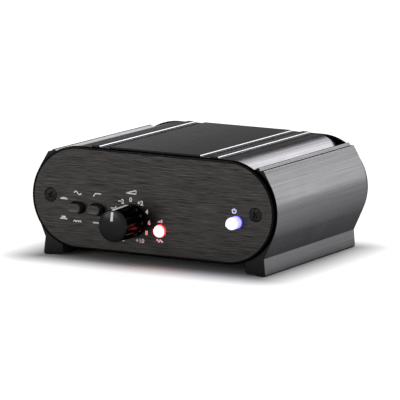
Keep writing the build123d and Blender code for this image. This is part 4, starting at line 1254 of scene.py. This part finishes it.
# ------------------------------------------------------------------------ controls
@dataclass
class GainKnob:
    """Fluted knob with its inlaid pointer."""

    place: Pair = (-9.5, -7.4)
    back: float = -2.8
    length: float = 15.2
    base_radius: float = 7.0
    side_radius: float = 6.55
    face_radius: float = 5.7
    bevel: float = 1.3
    flutes: int = 14
    flute_radius: float = 0.75
    flute_depth: float = 0.4
    skirt: float = 1.6
    hollow: Pair = (6.1, 3.1)
    bore: Pair = (3.05, 12.9)
    pointer_width: float = 1.1
    pointer_flare: float = 1.35
    pointer_inner: float = 2.1
    pointer_end: float = 2.2
    pointer_proud: float = 0.04
    pointer_depth: float = 0.35
    crown: float = 0.5

    def __post_init__(self) -> None:
        """Work out where the bevel starts, in front of the back."""
        self.rise = self.length - self.bevel

    def face_at(self, radius: Array) -> Array:
        """Distance of the crowned face in front of the back: it falls with the radius squared."""
        return self.length - self.crown * (radius / self.face_radius) ** 2

    def side_at(self, forward: Array | float) -> Array:
        """Plain radius at a distance in front of the back: straight taper, then bevel.

        Args:
            forward: Distance in front of the back.

        Returns:
            The radius.
        """
        taper = self.base_radius + (self.side_radius - self.base_radius) * forward / self.rise
        slope = (self.face_radius - self.side_radius) / self.bevel
        return np.where(forward < self.rise, taper, self.side_radius + slope * (forward - self.rise))

    def fluted(self, angle: Array, radius: Array, y: Array) -> Array:
        """Cut the flutes: a circle of the flute's radius centred just outside the side.

        Along a ray at the angle d from a flute's middle, the circle about the distance c
        is met at c cos d - sqrt(f^2 - c^2 sin^2 d); the smaller of that and the plain
        radius is the surface, faded in above the skirt and out again behind the bevel.

        Args:
            angle: Angles round the axis.
            radius: Plain radii.
            y: Places along the axis.

        Returns:
            The radii with the flutes.
        """
        forward = self.back - y
        pitch = FULL_TURN / self.flutes
        away = (angle - QUARTER_TURN) % pitch - pitch / 2 + 0 * radius
        rim = self.side_at(np.clip(forward, 0, self.length))
        centre = np.minimum(rim, self.side_radius + 0.2) + self.flute_radius - self.flute_depth
        under = self.flute_radius**2 - (centre * np.sin(away)) ** 2
        cut = centre * np.cos(away) - np.sqrt(np.maximum(under, 0.0))
        fade = np.clip((forward - self.skirt) / 0.5, 0, 1) * np.clip((self.rise - 0.1 - forward) / 0.9, 0, 1)
        outside = (radius > self.face_radius - 0.4) & (forward > self.skirt) & (under > 0)
        return np.where(outside, radius + (np.minimum(radius, cut) - radius) * fade, radius)

    def build(self) -> None:
        """Knob body as one turned surface from the face, round the side, into the bore."""
        back, edge = self.back, self.length - self.crown
        rings = np.linspace(0.0, self.face_radius - 0.12, 16)
        bevel = np.linspace(edge - 0.1, self.rise + 0.15, 5)
        side = np.concatenate([bevel, np.linspace(self.rise - 0.1, 0.15, 30)])
        hollow_y, bore_y = back - self.hollow[1], back - self.bore[1]
        profile = chain(
            np.stack([rings, back - self.face_at(rings)], 1),
            [(self.face_radius, back - edge + 0.04)],
            np.stack([self.side_at(side), back - side], 1),
            [(self.base_radius - 0.15, back), (self.hollow[0], back), (self.hollow[0], hollow_y)],
            [(self.bore[0], hollow_y), (self.bore[0], bore_y), (0.0, bore_y)],
        )
        rim = 0.6 * np.exp(-(((profile[:, 1] - back + self.rise) / 0.35) ** 2))
        skin = Skin("gain_knob_body")
        skin.grid(lathe(profile, self.place, self.flutes * 24, self.fluted), edge=rim)
        skin.build(Material.KNOB, "gain_control", "gain_knob")
        self.build_pointer()

    def build_pointer(self) -> None:
        """Carry a rounded strip section over the face's edge and down the side.

        The path runs in the plane above the axis: out along the face, over the bevel and
        back along the side, where the strip is wider.  The section is the width across and
        the inlay's depth.
        """
        radii = np.linspace(self.pointer_inner, self.face_radius - 0.1, 6)
        path = chain(
            np.stack([radii, self.face_at(radii)], 1),
            [(self.face_radius + 0.1, self.length - self.crown - 0.15)],
            [(self.side_radius - 0.05, self.rise + 0.1), (self.side_radius + 0.01, self.rise - 0.15)],
            [(self.side_at(self.pointer_end), self.pointer_end)],
        )
        along = np.gradient(path, axis=0)
        along /= np.linalg.norm(along, axis=1)[:, None]
        normal = np.stack([-along[:, 1], along[:, 0]], 1)
        half, proud, low = self.pointer_width / 2, self.pointer_proud, self.pointer_proud - 0.03
        right = [(half, -self.pointer_depth), (half, low), (half - 0.05, proud)]
        section = np.array([(-half, -self.pointer_depth), *right, (0.05 - half, proud), (-half, low)])
        place = path[:, None] + normal[:, None] * section[None, :, 1:]
        widen = np.where(path[:, 1] > self.rise, 1.0, self.pointer_flare)[:, None]
        x = self.place[0] + section[None, :, 0] * widen
        points = np.stack([x, self.back - place[..., 1], self.place[1] + place[..., 0]], -1)
        skin = Skin("gain_knob_pointer_inlay").grid(points)
        for end in (points[0], points[-1]):
            skin.cap(end)
        skin.build(Material.POINTER, "gain_control", "gain_knob_pointer")


@dataclass
class ButtonCap:
    """Obround push button cap with a soft edge and a shallow dish."""

    name: str
    body: str
    place: Pair
    end: End = End.FRONT
    face_y: float = -5.7
    back_y: float = 0.1
    width: float = 6.2
    height: float = 3.9
    soft: float = 0.55
    dish: float = 0.12

    def build(self) -> None:
        """Carry a section from the face's middle over the edge and down the side.

        The section's radius goes round the stadium whose arc centres are half of width
        less height apart from the middle.
        """
        full, flat_end = self.height / 2, self.height / 2 - self.soft
        flat = np.linspace(0.0, flat_end, 7)
        out, down = quarter_round(self.soft, 8)
        profile = chain(
            np.stack([flat, self.face_y + self.dish * (1 - (flat / flat_end) ** 2)], 1),
            np.stack([flat_end + out, self.face_y + down], 1),
            [(full, self.back_y - 0.15), (full - 0.15, self.back_y), (0.0, self.back_y)],
        )
        rim = np.exp(-(((profile[:, 0] - full + 0.2) / 0.3) ** 2))
        points = stadium(profile, self.place, self.width - self.height, self.end, 20)
        Skin(f"{self.name}_cap").grid(points, edge=rim).build(Material.BUTTON, self.body, self.name)


@dataclass
class PanelLight:
    """Round-nosed lamp with a flange and the light that it throws."""

    name: str
    slot: str
    place: Pair
    tip_y: float
    core: Colour
    rim: Colour
    halo: Colour
    strength: float
    watts: float
    cells: float
    lamp_offset: tuple[float, float, float] = (-3.6, -2.2, -1.0)
    radius: float = 2.5
    length: float = 8.6
    flange: Pair = (2.9, 1.0)

    def build(self) -> None:
        """Dome, barrel and flange turned in one, with a small lamp before the panel."""
        x, z = self.place
        out, back = quarter_round(self.radius, 14)
        wide, base = self.flange[0], self.tip_y + self.length
        step = base - self.flange[1]
        profile = chain(
            np.stack([out, self.tip_y + back], 1),
            [(self.radius, step), (wide - 0.1, step), (wide, step + 0.1)],
            [(wide, base - 0.1), (wide - 0.1, base), (0.0, base)],
        )
        spot = tuple(in_frame((x, self.tip_y + 1.2, z)))
        colours = (self.core, self.rim, self.halo)
        finish = LitLens(f"{self.name}_resin", *colours, self.strength, self.cells, spot)
        skin = Skin(f"{self.name}_lens").grid(lathe(profile, self.place, 56))
        skin.build(Look(finish, self.slot), CASE, self.name)
        lamp = bpy.data.lights.new(f"{self.name}_glow", "POINT")
        lamp.energy, lamp.color, lamp.shadow_soft_size = self.watts, self.rim, 1.0e-3
        in_scene(lamp.name, lamp).location = in_frame(np.array([x, PANEL_FACE, z]) + self.lamp_offset)


# ------------------------------------------------------------------- rear connectors
@dataclass
class SocketBlock:
    """Two phono sockets in one moulded block."""

    name: str
    middle: float
    z: float = -5.0
    pitch: float = 14.0
    width: float = 25.0
    height: float = 15.0
    depth: float = 12.0
    bore: float = 3.65
    collar: float = 5.2
    collar_end: float = 86.8
    tip: float = 95.0
    shell_radius: float = 4.15
    groove_radius: float = 4.02

    def build(self) -> None:
        """Block with collars, then the shell, insulator and contact of each channel."""
        panel = REAR_PANEL_BACK
        corners = box(self.middle, self.width / 2, BOARD_TOP, BOARD_TOP + self.height)
        outline, marks = softened(corners, 0.6)
        centres = [self.middle - self.pitch / 2, self.middle + self.pitch / 2]
        holes = tuple(arc((x, self.z), self.bore, 0, 352.5, 48) for x in centres)
        skin = Skin(f"{self.name}_socket_moulding")
        skin.extrude(outline, panel - self.depth, panel, marks, holes, bevel=0.2)
        ring = [(self.bore, panel), (self.collar, panel), (self.collar, self.collar_end)]
        ring += [(self.bore, self.collar_end)]
        pit = [(0.0, panel - 10.0), (4.6, panel - 10.0), (4.6, panel - 7.1), (0.0, panel - 7.1)]
        for x in centres:
            skin.turn(ring, (x, self.z), 0.2, closed=True).turn(pit, (x, self.z))
        skin.build(Material.SOCKET, CASE, f"{self.name}_socket_block")
        for x, channel, insulator in zip(centres, ("right", "left"), (Material.RED, Material.WHITE)):
            self.build_socket(f"{self.name}_{channel}", (x, self.z), insulator)

    def build_socket(self, name: str, place: Pair, insulator: Material) -> None:
        """One channel: rolled shell with two grooves, chamfered insulator, slotted contact.

        Args:
            name: Input or output and the channel.
            place: The socket's axis, x and z.
            insulator: Finish of the insulator, red or white.
        """
        bore, wide, groove, tip = self.bore, self.shell_radius, self.groove_radius, self.tip
        shell = [(bore, self.collar_end), (wide, self.collar_end), (wide, 87.4), (groove, 87.6)]
        shell += [(groove, 88.0), (wide, 88.2), (wide, tip - 0.6), (groove, tip), (3.8, tip)]
        shell += [(bore, tip - 0.35)]
        skin = Skin(f"{name}_shell_turned").turn(shell, place, 0.1, closed=True, steps=72)
        skin.build(Material.GOLD, CASE, f"{name}_shell")
        back, front, seat = REAR_PANEL_BACK - 7.0, tip - 0.4, tip - 2.4
        foot = seat - 12.0
        plug = [(0.0, back), (3.62, back), (3.62, front - 0.1), (3.5, front), (2.35, front)]
        plug += [(1.85, front - 0.5), (1.85, seat), (2.1, seat), (2.1, foot), (0.0, foot)]
        skin = Skin(f"{name}_insulator_moulded").turn(plug, place, 0.08, steps=56)
        skin.build(insulator, CASE, f"{name}_insulator")
        sleeve = [(1.65, foot), (2.1, foot), (2.1, seat), (1.8, seat), (1.65, seat - 0.15)]
        skin = Skin(f"{name}_contact_sleeve").turn(sleeve, place, 0.05, closed=True, steps=48)
        skin.build(Material.CONTACT, CASE, f"{name}_contact")


@dataclass
class PowerInlet:
    """Barrel inlet: moulded body with a round mouth, and a domed pin in it."""

    place: Pair = (37.5, -7.7)
    half_width: float = 4.6
    height: float = 11.5
    depth: float = 14.0
    barrel: float = 4.4
    bore: Pair = (3.15, 9.0)
    pin_radius: float = 1.05
    pin_sunk: float = 1.0

    def build(self) -> None:
        """Body box, mouth turned in one surface down to the bore's floor, then the pin."""
        panel, face = REAR_PANEL_BACK, REAR_FACE
        corners = box(self.place[0], self.half_width, BOARD_TOP, BOARD_TOP + self.height)
        outline, marks = softened(corners, 0.5)
        skin = Skin("inlet_body_moulding")
        hole = arc(self.place, self.barrel - 0.1, 0, 352.5, 48)
        skin.extrude(outline, panel - self.depth, panel, marks, (hole,), bevel=0.15)
        radius, start, floor = self.bore[0], panel - self.depth + 0.1, face - self.bore[1]
        mouth = [(0.0, start), (self.barrel, start), (self.barrel, face), (radius + 0.4, face)]
        mouth += [(radius, face - 0.4), (radius, floor), (0.0, floor)]
        skin.turn(mouth, self.place).build(Material.SOCKET, CASE, "inlet_body")
        turn = np.linspace(0.0, QUARTER_TURN, 8)
        pin = self.pin_radius
        nose = np.stack([pin * np.cos(turn), face - self.pin_sunk - pin + pin * np.sin(turn)], 1)
        skin = Skin("inlet_pin_turned").grid(lathe(chain([(0.0, floor), (pin, floor)], nose), self.place, 32))
        skin.build(Material.STEEL, CASE, "inlet_pin")


@dataclass
class GroundTerminal:
    """Threaded stud, clamp washer and knurled thumb nut."""

    place: Pair = (-10.8, -5.0)
    tip: float = 96.9
    radius: float = 2.0
    end_radius: float = 1.6
    head: tuple[float, float, float] = (3.4, 80.4, 82.0)
    thread_end: float = 93.9
    pitch: float = 0.7
    depth: float = 0.28
    bore: float = 2.08
    washer: Pair = (4.3, 87.2)
    nut_radius: float = 4.75
    nut_end: float = 92.4
    knurl_span: Pair = (88.45, 92.15)
    knurl_rise: float = 1.1
    knurl_depth: float = 0.24
    teeth: int = 36

    def helix(self, angle: Array, radius: Array, y: Array) -> Array:
        """Thread: the radius drops by a triangle wave of y over the pitch less the turn.

        Args:
            angle: Angles round the axis.
            radius: Plain radii.
            y: Places along the axis.

        Returns:
            The radii with the thread.
        """
        threaded = (np.abs(radius - self.radius) < SAME_POINT) & (y > REAR_FACE)
        wave = triangle_wave(y / self.pitch - angle / FULL_TURN)
        return radius - np.where(threaded, self.depth * wave, 0.0)

    def knurl(self, angle: Array, radius: Array, y: Array) -> Array:
        """Diamond knurl: two triangle waves, turning opposite ways along y, cut the rim.

        Args:
            angle: Angles round the axis.
            radius: Plain radii.
            y: Places along the axis.

        Returns:
            The radii with the knurl.
        """
        teeth, rise = self.teeth * angle / FULL_TURN, y / self.knurl_rise
        first, last = self.knurl_span
        rim = (np.abs(radius - self.nut_radius) < SAME_POINT) & (y > first + 0.1) & (y < last - 0.1)
        waves = np.maximum(triangle_wave(teeth - rise), triangle_wave(teeth + rise))
        return radius - np.where(rim, self.knurl_depth * waves, 0.0)

    def build(self) -> None:
        """Stud with head, washer, and nut with a dished outer face."""
        wide, start, end = self.head
        rows = [(0.0, start), (wide - 0.15, start), (wide, start + 0.15), (wide, end - 0.15)]
        rows += [(wide - 0.15, end), (self.radius, end), (self.radius, REAR_FACE - 0.02)]
        rows += [(self.radius, y) for y in np.linspace(REAR_FACE + 0.1, self.thread_end, 100)]
        rows += [(self.end_radius, self.thread_end), (self.end_radius, self.tip - 0.2)]
        rows += [(self.end_radius - 0.2, self.tip), (0.0, self.tip)]
        skin = Skin("ground_stud_threaded").grid(lathe(rows, self.place, 40, self.helix))
        skin.build(Material.STEEL, CASE, "ground_stud")
        (wide, seat), bore = self.washer, self.bore
        ring = [(bore, REAR_FACE), (wide, REAR_FACE), (wide, seat), (bore, seat)]
        skin = Skin("ground_washer_turned").turn(ring, self.place, 0.15, closed=True)
        skin.build(Material.STEEL, "ground_clamp", "ground_washer")
        end, land = self.nut_end, self.nut_radius - 0.4
        rows = [(bore, seat), (3.75, seat), (3.75, 88.15), (land, 88.2)]
        rows += [(self.nut_radius, y) for y in np.linspace(*self.knurl_span, 42)]
        rows += [(land, end), (3.6, end), (3.3, end - 0.2), (2.5, end - 0.2), (bore, end - 0.5)]
        points = lathe(rows, self.place, self.teeth * 8, self.knurl)
        skin = Skin("ground_thumb_nut_knurled").grid(points, True)
        skin.build(Material.STEEL, "ground_nut", "ground_thumb_nut")


# ------------------------------------------------------------------- printed marks
@dataclass
class Pen:
    """Draws thin raised lines on one panel."""

    skin: Skin
    face: float
    outward: float
    thickness: float = 0.03
    sunk: float = 0.01

    def stroke(self, width: float, path: Array | list, closed: bool = False) -> None:
        """Draw a line of a width along a path.

        The strip's section is a thin rectangle: the path plus or minus half the width
        along the path's normal, at the panel's face and one thickness before it.

        Args:
            width: Line width.
            path: Points of x and z.
            closed: Whether the path is a loop.
        """
        path = np.asarray(path, float)
        before, after = np.roll(path, 1, 0), np.roll(path, -1, 0)
        if not closed:
            before[0], after[-1] = path[0], path[-1]
        along = after - before
        along /= np.linalg.norm(along, axis=1)[:, None]
        side = np.stack([-along[:, 1], along[:, 0]], 1) * width / 2
        low, high = self.face - self.outward * self.sunk, self.face + self.outward * self.thickness
        rows = [(path + side, low), (path + side, high), (path - side, high), (path - side, low)]
        points = np.stack([np.insert(line, 1, y, 1) for line, y in rows], 1)
        self.skin.grid(points, closed)
        if not closed:
            for end in (points[0], points[-1]):
                self.skin.cap(end)


@dataclass
class PrintedMarks:
    """Dial numbers and plain pictograms, printed on the panels."""

    knob: Pair = (-9.5, -7.4)
    dial_radius: float = 8.6
    step_angle: float = 15.0
    thickness: float = 0.03
    number_size: float = 2.5
    number_weight: float = 0.09
    ring_radius: float = 6.4

    def number_places(self) -> dict[str, float]:
        """Each dial number and its angle from the top, in degrees, clockwise positive."""
        labels = {"0": 0.0, "+2": 30.0, "−2": -30.0}
        for value in (4, 6, 8, 10):
            sign = "+" if value == 10 else ""
            labels[f"{sign}{value}"] = value * self.step_angle
            labels[f"−{value}"] = -value * self.step_angle
        return labels

    def build_numbers(self) -> None:
        """Set each number upright on the dial's circle, as a thin solid on the panel."""
        joined = bmesh.new()
        for label, angle in self.number_places().items():
            curve = bpy.data.curves.new(f"number_{label}", "FONT")
            curve.body, curve.size = label, self.number_size
            curve.align_x, curve.align_y = "CENTER", "CENTER"
            curve.extrude, curve.resolution_u, curve.offset = self.thickness / 2, 3, self.number_weight
            holder = in_scene(curve.name, curve)
            bpy.context.view_layer.update()
            graph = bpy.context.evaluated_depsgraph_get()
            mesh = bpy.data.meshes.new_from_object(holder.evaluated_get(graph))
            sine, cosine = math.sin(math.radians(angle)), math.cos(math.radians(angle))
            reach = self.dial_radius + 0.35 * (len(label) - 1) * abs(sine)
            x, z = self.knob[0] + reach * sine, self.knob[1] + reach * cosine
            shift = Matrix.Translation(Vector(in_frame((x, PANEL_FACE - self.thickness / 2, z))))
            mesh.transform(shift @ Matrix.Scale(MM, 4) @ Matrix.Rotation(QUARTER_TURN, 4, "X"))
            joined.from_mesh(mesh)
            bpy.data.objects.remove(holder)
        mesh = bpy.data.meshes.new("dial_numbers")
        make_piece("dial_numbers", joined, mesh, Material.INK, CASE, smooth=False)

    def build_front_signs(self) -> None:
        """Button-out and button-in signs, wave and filter curves, ramp, power sign, level bars."""
        t = np.linspace(0.0, 1.0, 25)
        strokes = (
            (0.5, [(-42.0, -0.95), (-38.6, -0.95)]),
            (1.9, [(-40.3, -0.8), (-40.3, -0.35)]),
            (0.5, [(-42.0, -9.15), (-38.6, -9.15)]),
            (1.9, [(-40.3, -9.0), (-40.3, -8.05)]),
            (0.48, np.stack([-35.6 + 3.4 * t, 1.9 + 0.65 * np.sin(FULL_TURN * t)], 1)),
            (0.48, np.stack([-35.7 + 3.6 * t, -10.0 + 0.55 * np.abs(np.sin(3 * math.pi * t))], 1)),
            (0.48, [(-26.7, 1.1), (-25.7, 2.4), (-23.1, 2.4)]),
            (0.48, [(-26.7, -9.6), (-23.1, -9.6)]),
            (0.46, [(-11.9, 3.8), (-7.1, 3.8), (-7.1, 5.2)]),
            (0.46, [(-11.9, 3.8), (-7.1, 5.2)]),
            (0.48, arc((37.3, 0.9), 0.85, 125, 415, 28)),
            (0.48, [(37.3, 0.9), (37.3, 2.0)]),
            (0.5, [(3.2, -6.9), (3.2, -6.4)]),
            (0.5, [(4.0, -6.9), (4.0, -6.0)]),
            (0.5, [(4.8, -6.9), (4.8, -5.6)]),
            (0.46, np.stack([2.6 + 2.8 * t, -14.3 + 0.5 * np.sin(2 * FULL_TURN * t)], 1)),
        )
        pen = Pen(Skin("front_panel_signs"), PANEL_FACE, -1.0)
        for width, path in strokes:
            pen.stroke(width, path)
        pen.skin.build(Material.INK, CASE)

    def build_rear_signs(self) -> None:
        """Rings round the sockets, arrows for in and out, earth sign and polarity sign."""
        strokes = (
            (0.35, [(-29.5, 4.2), (-29.5, 7.6)]),
            (0.35, [(-30.6, 5.2), (-29.5, 4.0), (-28.4, 5.2)]),
            (0.35, [(17.5, 4.2), (17.5, 7.6)]),
            (0.35, [(16.4, 6.6), (17.5, 7.8), (18.6, 6.6)]),
            (0.28, [(-12.4, 3.4), (-9.2, 3.4)]),
            (0.28, [(-11.85, 2.7), (-9.75, 2.7)]),
            (0.28, [(-11.3, 2.0), (-10.3, 2.0)]),
            (0.28, [(-10.8, 3.5), (-10.8, 5.0)]),
            (0.26, arc((37.5, 0.6), 1.1, 60, 300, 24)),
            (0.7, [(37.15, 0.6), (37.85, 0.6)]),
            (0.26, [(33.2, 0.6), (34.6, 0.6)]),
            (0.26, [(40.4, 0.6), (41.8, 0.6)]),
            (0.26, [(41.1, -0.1), (41.1, 1.3)]),
            (0.26, [(34.9, 0.6), (36.4, 0.6)]),
            (0.26, [(37.8, 0.6), (40.1, 0.6)]),
        )
        pen = Pen(Skin("rear_panel_signs"), REAR_FACE, 1.0)
        for x in (-36.5, -22.5, 10.5, 24.5):
            pen.stroke(0.25, arc((x, -5.0), self.ring_radius, 0, 352.5, 48), closed=True)
        for width, path in strokes:
            pen.stroke(width, path)
        pen.skin.build(Material.INK, CASE)


@dataclass
class BoardParts:
    """Pieces inside the case: turned can capacitors, and finishes for the rest."""

    can_y: float = 61.88
    can_x: tuple[float, ...] = (-21.0, -7.0, 7.0, 21.0)

    def build_cans(self) -> None:
        """Cans turned about Z, with a pinched neck, a rolled top and a dished lid.

        A point is the axis plus the profile's radius in the turn's direction, at the
        profile's height above the board.
        """
        corners = [(0.0, 0.0), (4.0, 0.0), (4.0, 1.0), (3.65, 1.35), (4.0, 1.75), (4.0, 11.3)]
        corners += [(3.85, 11.5), (3.5, 11.5), (3.3, 11.25), (0.0, 11.2)]
        profile, marks = softened(corners, 0.15, closed=False)
        skin = Skin("electrolytic_cans")
        for x in self.can_x:
            lying = lathe(profile, (0.0, 0.0), 48)
            skin.grid(lying[..., [0, 2, 1]] + (x, self.can_y, BOARD_TOP), edge=marks)
        skin.build(Material.CAN, CASE, "electrolytic_capacitors")

    @staticmethod
    def dress_nodes() -> None:
        """Finishes for every CAD node that stays as it is."""
        kept = {
            Material.PANEL: ("front_panel", "rear_panel"),
            Material.POT: ("gain_pot_body", "gain_pot_shaft"),
            Material.BUSH: ("gain_pot_bush",),
            Material.STEEL: ("gain_pot_washer", "gain_pot_nut", "ground_inner_nut"),
            Material.PLUNGER: ("input_type_plunger", "filter_plunger", "rear_plunger"),
            Material.SWITCH: ("input_type_switch_body", "filter_switch_body", "rear_switch_body"),
            Material.LEAD: ("clip_led_leads", "power_led_leads"),
            Material.SPACER: ("clip_led_spacer", "power_led_spacer"),
            Material.BOARD: ("main_board", "control_board"),
            Material.CHIP: ("board_header", "op_amps", "voltage_regulator"),
            Material.FILM: ("film_capacitors",),
            Material.RESISTOR: ("resistors",),
        }
        for choice, nodes in kept.items():
            for node in nodes:
                dress_node(node, choice)


# ------------------------------------------------------------------------- studio
@dataclass(frozen=True)
class PaleFloor(Finish):
    """Pale floor that goes to white for the camera, with painted shade round the preamp beside its shadow."""

    outline: tuple[float, float, float] = (0.05, 0.043, 1.0)
    # Reach of the painted shade beyond the preamp's outline.
    fade: float = 0.018
    mirror_shade_scale: tuple[float, float, float] = (1.0, 0.28, 1.0)
    glow: float = 0.76

    def dress(self, paint: Paint) -> None:
        """Diffuse pale floor plus a glow that only camera, mirror and glass rays see.

        The glow rises with the distance from the preamp's outline and, with the lamps'
        light, makes white far off; beside the preamp the missing glow is painted shade,
        on top of the lamps' shadow there. Mirror and glass rays measure that distance
        with a smaller scale along Y, so for them the painted shade reaches further
        before and behind the preamp.

        Args:
            paint: The material under construction.
        """
        mottle = paint.effect(Effects.mottle(), Scale=3.0)
        base = paint.mix(mottle["Mask"], (0.49,) * 3, (0.51,) * 3)
        paint.set({"Base Color": base, "Roughness": 0.9, "Specular IOR Level": 0.0})
        # Distance beyond the preamp's outline: the glow starts at zero there, a painted shade.
        beyond = paint.vector("SUBTRACT", paint.vector("ABSOLUTE", paint.place)[0], self.outline)[0]
        beyond = paint.vector("MAXIMUM", beyond)[0]
        rays = paint.add("LightPath").outputs
        glass = paint.math("MAXIMUM", rays["Is Glossy Ray"], rays["Is Transmission Ray"])
        shares = []
        for ray, scale in ((rays["Is Camera Ray"], (1.0, 1.0, 1.0)), (glass, self.mirror_shade_scale)):
            away = paint.vector("LENGTH", paint.vector("MULTIPLY", beyond, scale)[0])["Value"]
            shares.append(paint.math("MULTIPLY", ray, paint.span(away, 0.0, self.fade, 0.0, self.glow)))
        glow = paint.add("Emission", {"Color": (1.0,) * 3, "Strength": paint.math("ADD", *shares)})
        both = paint.add("AddShader", {0: paint.shader.outputs[0], 1: glow.outputs[0]})
        paint.fill(paint.out, {0: both.outputs[0]})


@dataclass
class Softbox:
    """Area lamp aimed at the preamp."""

    name: str
    direction: tuple[float, float, float]
    distance: float
    width: float
    height: float
    radiance: float
    aim: tuple[float, float, float] = (0.0, 0.0, 0.02)

    def build(self) -> None:
        """Place the lamp; its power is radiance times pi times its area."""
        lamp = bpy.data.lights.new(self.name, "AREA")
        lamp.shape, lamp.size, lamp.size_y = "RECTANGLE", self.width, self.height
        lamp.energy = self.radiance * math.pi * self.width * self.height
        holder = in_scene(self.name, lamp)
        away = Vector(self.direction).normalized()
        holder.location = Vector(self.aim) + away * self.distance
        holder.rotation_mode = "QUATERNION"
        holder.rotation_quaternion = away.to_track_quat("Z", "Y")
        holder.visible_camera = False


@dataclass
class Studio:
    """Camera, floor, world and lamps."""

    yaw: float = 0.473768797
    pitch: float = 0.161333929
    roll: float = 0.0166041923
    focal_px: float = 4022.03777
    picture_px: float = 400.0
    offset: tuple[float, float, float] = (-19.5472792, -2.00048036, 1618.10856)
    floor_reach: float = 12.0
    sky_level: float = 0.55

    def build_camera(self) -> None:
        """Long-lens camera: right, up and back vectors from yaw, pitch and roll.

        The place is minus the transposed rotation times the offset, moved from the
        panel's middle into the row frame.
        """
        a, e, r = self.yaw, self.pitch, self.roll
        back = Vector((math.sin(a) * math.cos(e), -math.cos(a) * math.cos(e), math.sin(e)))
        right = Vector((math.cos(a), math.sin(a), 0.0))
        up = back.cross(right).normalized()
        right, up = math.cos(r) * right + math.sin(r) * up, math.cos(r) * up - math.sin(r) * right
        tx, ty, tz = self.offset
        place = -(right * tx + up * ty - back * tz)
        shift = Vector(ORIGIN_SHIFT) + Vector((0.0, PANEL_FACE, 0.0))
        data = bpy.data.cameras.new("studio_camera")
        data.lens = self.focal_px / self.picture_px * data.sensor_width
        data.clip_start, data.clip_end = 0.05, 50.0
        camera = in_scene("studio_camera", data)
        turn = Matrix((right, up, back)).transposed().to_4x4()
        camera.matrix_world = Matrix.Translation((place + shift) * MM) @ turn
        bpy.context.scene.camera = camera

    def build_floor(self) -> None:
        """Large flat floor under the soles."""
        mesh = bpy.data.meshes.new("studio_floor")
        corners = [(x, y, 0.0) for x, y in box(0.0, self.floor_reach, -self.floor_reach, self.floor_reach)]
        mesh.from_pydata(corners, [], [(0, 1, 2, 3)])
        mesh.materials.append(material_of(PaleFloor("pale_floor")))
        floor = in_scene("studio_floor", mesh)

    def build_world(self) -> None:
        """White for camera, mirror and glass rays; a plain soft level for the rest."""
        world = bpy.data.worlds.new("studio_world")
        world.use_nodes = True
        world.node_tree.nodes.clear()
        sketch = Sketch(world.node_tree)
        rays = sketch.add("LightPath").outputs
        seen = sketch.math("MAXIMUM", rays["Is Camera Ray"], rays["Is Glossy Ray"])
        seen = sketch.math("MAXIMUM", seen, rays["Is Transmission Ray"])
        strength = sketch.ramp(seen, self.sky_level, 1.0)
        sky = sketch.add("Background", {"Color": (1.0,) * 3, "Strength": strength})
        sketch.add("OutputWorld", {0: sky.outputs[0]})
        bpy.context.scene.world = world

    def build(self) -> None:
        """Set up the whole studio."""
        self.build_camera()
        self.build_floor()
        self.build_world()
        Softbox("rear_softbox", (0.05, 0.88, 0.52), 0.95, 0.46, 0.36, 6.4).build()
        Softbox("side_softbox", (0.5, 0.88, 0.21), 1.0, 0.42, 0.4, 1.75).build()
        Softbox("front_softbox", (-0.5, -0.87, 0.16), 1.1, 0.5, 0.3, 4.5).build()
        bpy.context.scene.view_settings.view_transform = "Standard"


CLIP_LIGHT = PanelLight(
    "clip_led",
    "led_red",
    (4.0, -10.3),
    tip_y=-4.6,
    core=(1.0, 0.45, 0.45),
    rim=(1.0, 0.05, 0.08),
    halo=(2.2, 0.01, 0.02),
    strength=4.5,
    watts=0.00035,
    cells=350.0,
)
POWER_LIGHT = PanelLight(
    "power_led",
    "led_clear",
    (38.3, -3.6),
    tip_y=-8.4,
    core=(1.0, 1.0, 1.0),
    rim=(0.4, 0.4, 0.9),
    halo=(0.15, 0.12, 1.8),
    strength=1.15,
    watts=0.0014,
    cells=700.0,
)


def main() -> None:
    """Build every sub-assembly in order."""
    logging.basicConfig(level=logging.INFO, format="%(name)s: %(message)s")
    shells = CaseShells()
    shells.build_lower_shell()
    shells.build_top_cover()
    for end in End:
        fittings = EndFrame(end)
        fittings.build_bezel()
        fittings.build_screws()
    GainKnob().build()
    ButtonCap("input_type_button", "input_type_key", (-33.9, -4.1)).build()
    ButtonCap("filter_button", "filter_key", (-24.9, -4.1)).build()
    ButtonCap("rear_button", "rear_key", (-1.5, -9.95), End.REAR, face_y=-5.0).build()
    for light in (CLIP_LIGHT, POWER_LIGHT):
        light.build()
    for name, middle in (("input", -29.5), ("output", 17.5)):
        SocketBlock(name, middle).build()
    PowerInlet().build()
    GroundTerminal().build()
    marks = PrintedMarks()
    marks.build_numbers()
    marks.build_front_signs()
    marks.build_rear_signs()
    parts = BoardParts()
    parts.build_cans()
    parts.dress_nodes()
    Studio().build()


if __name__ == "__main__":
    main()
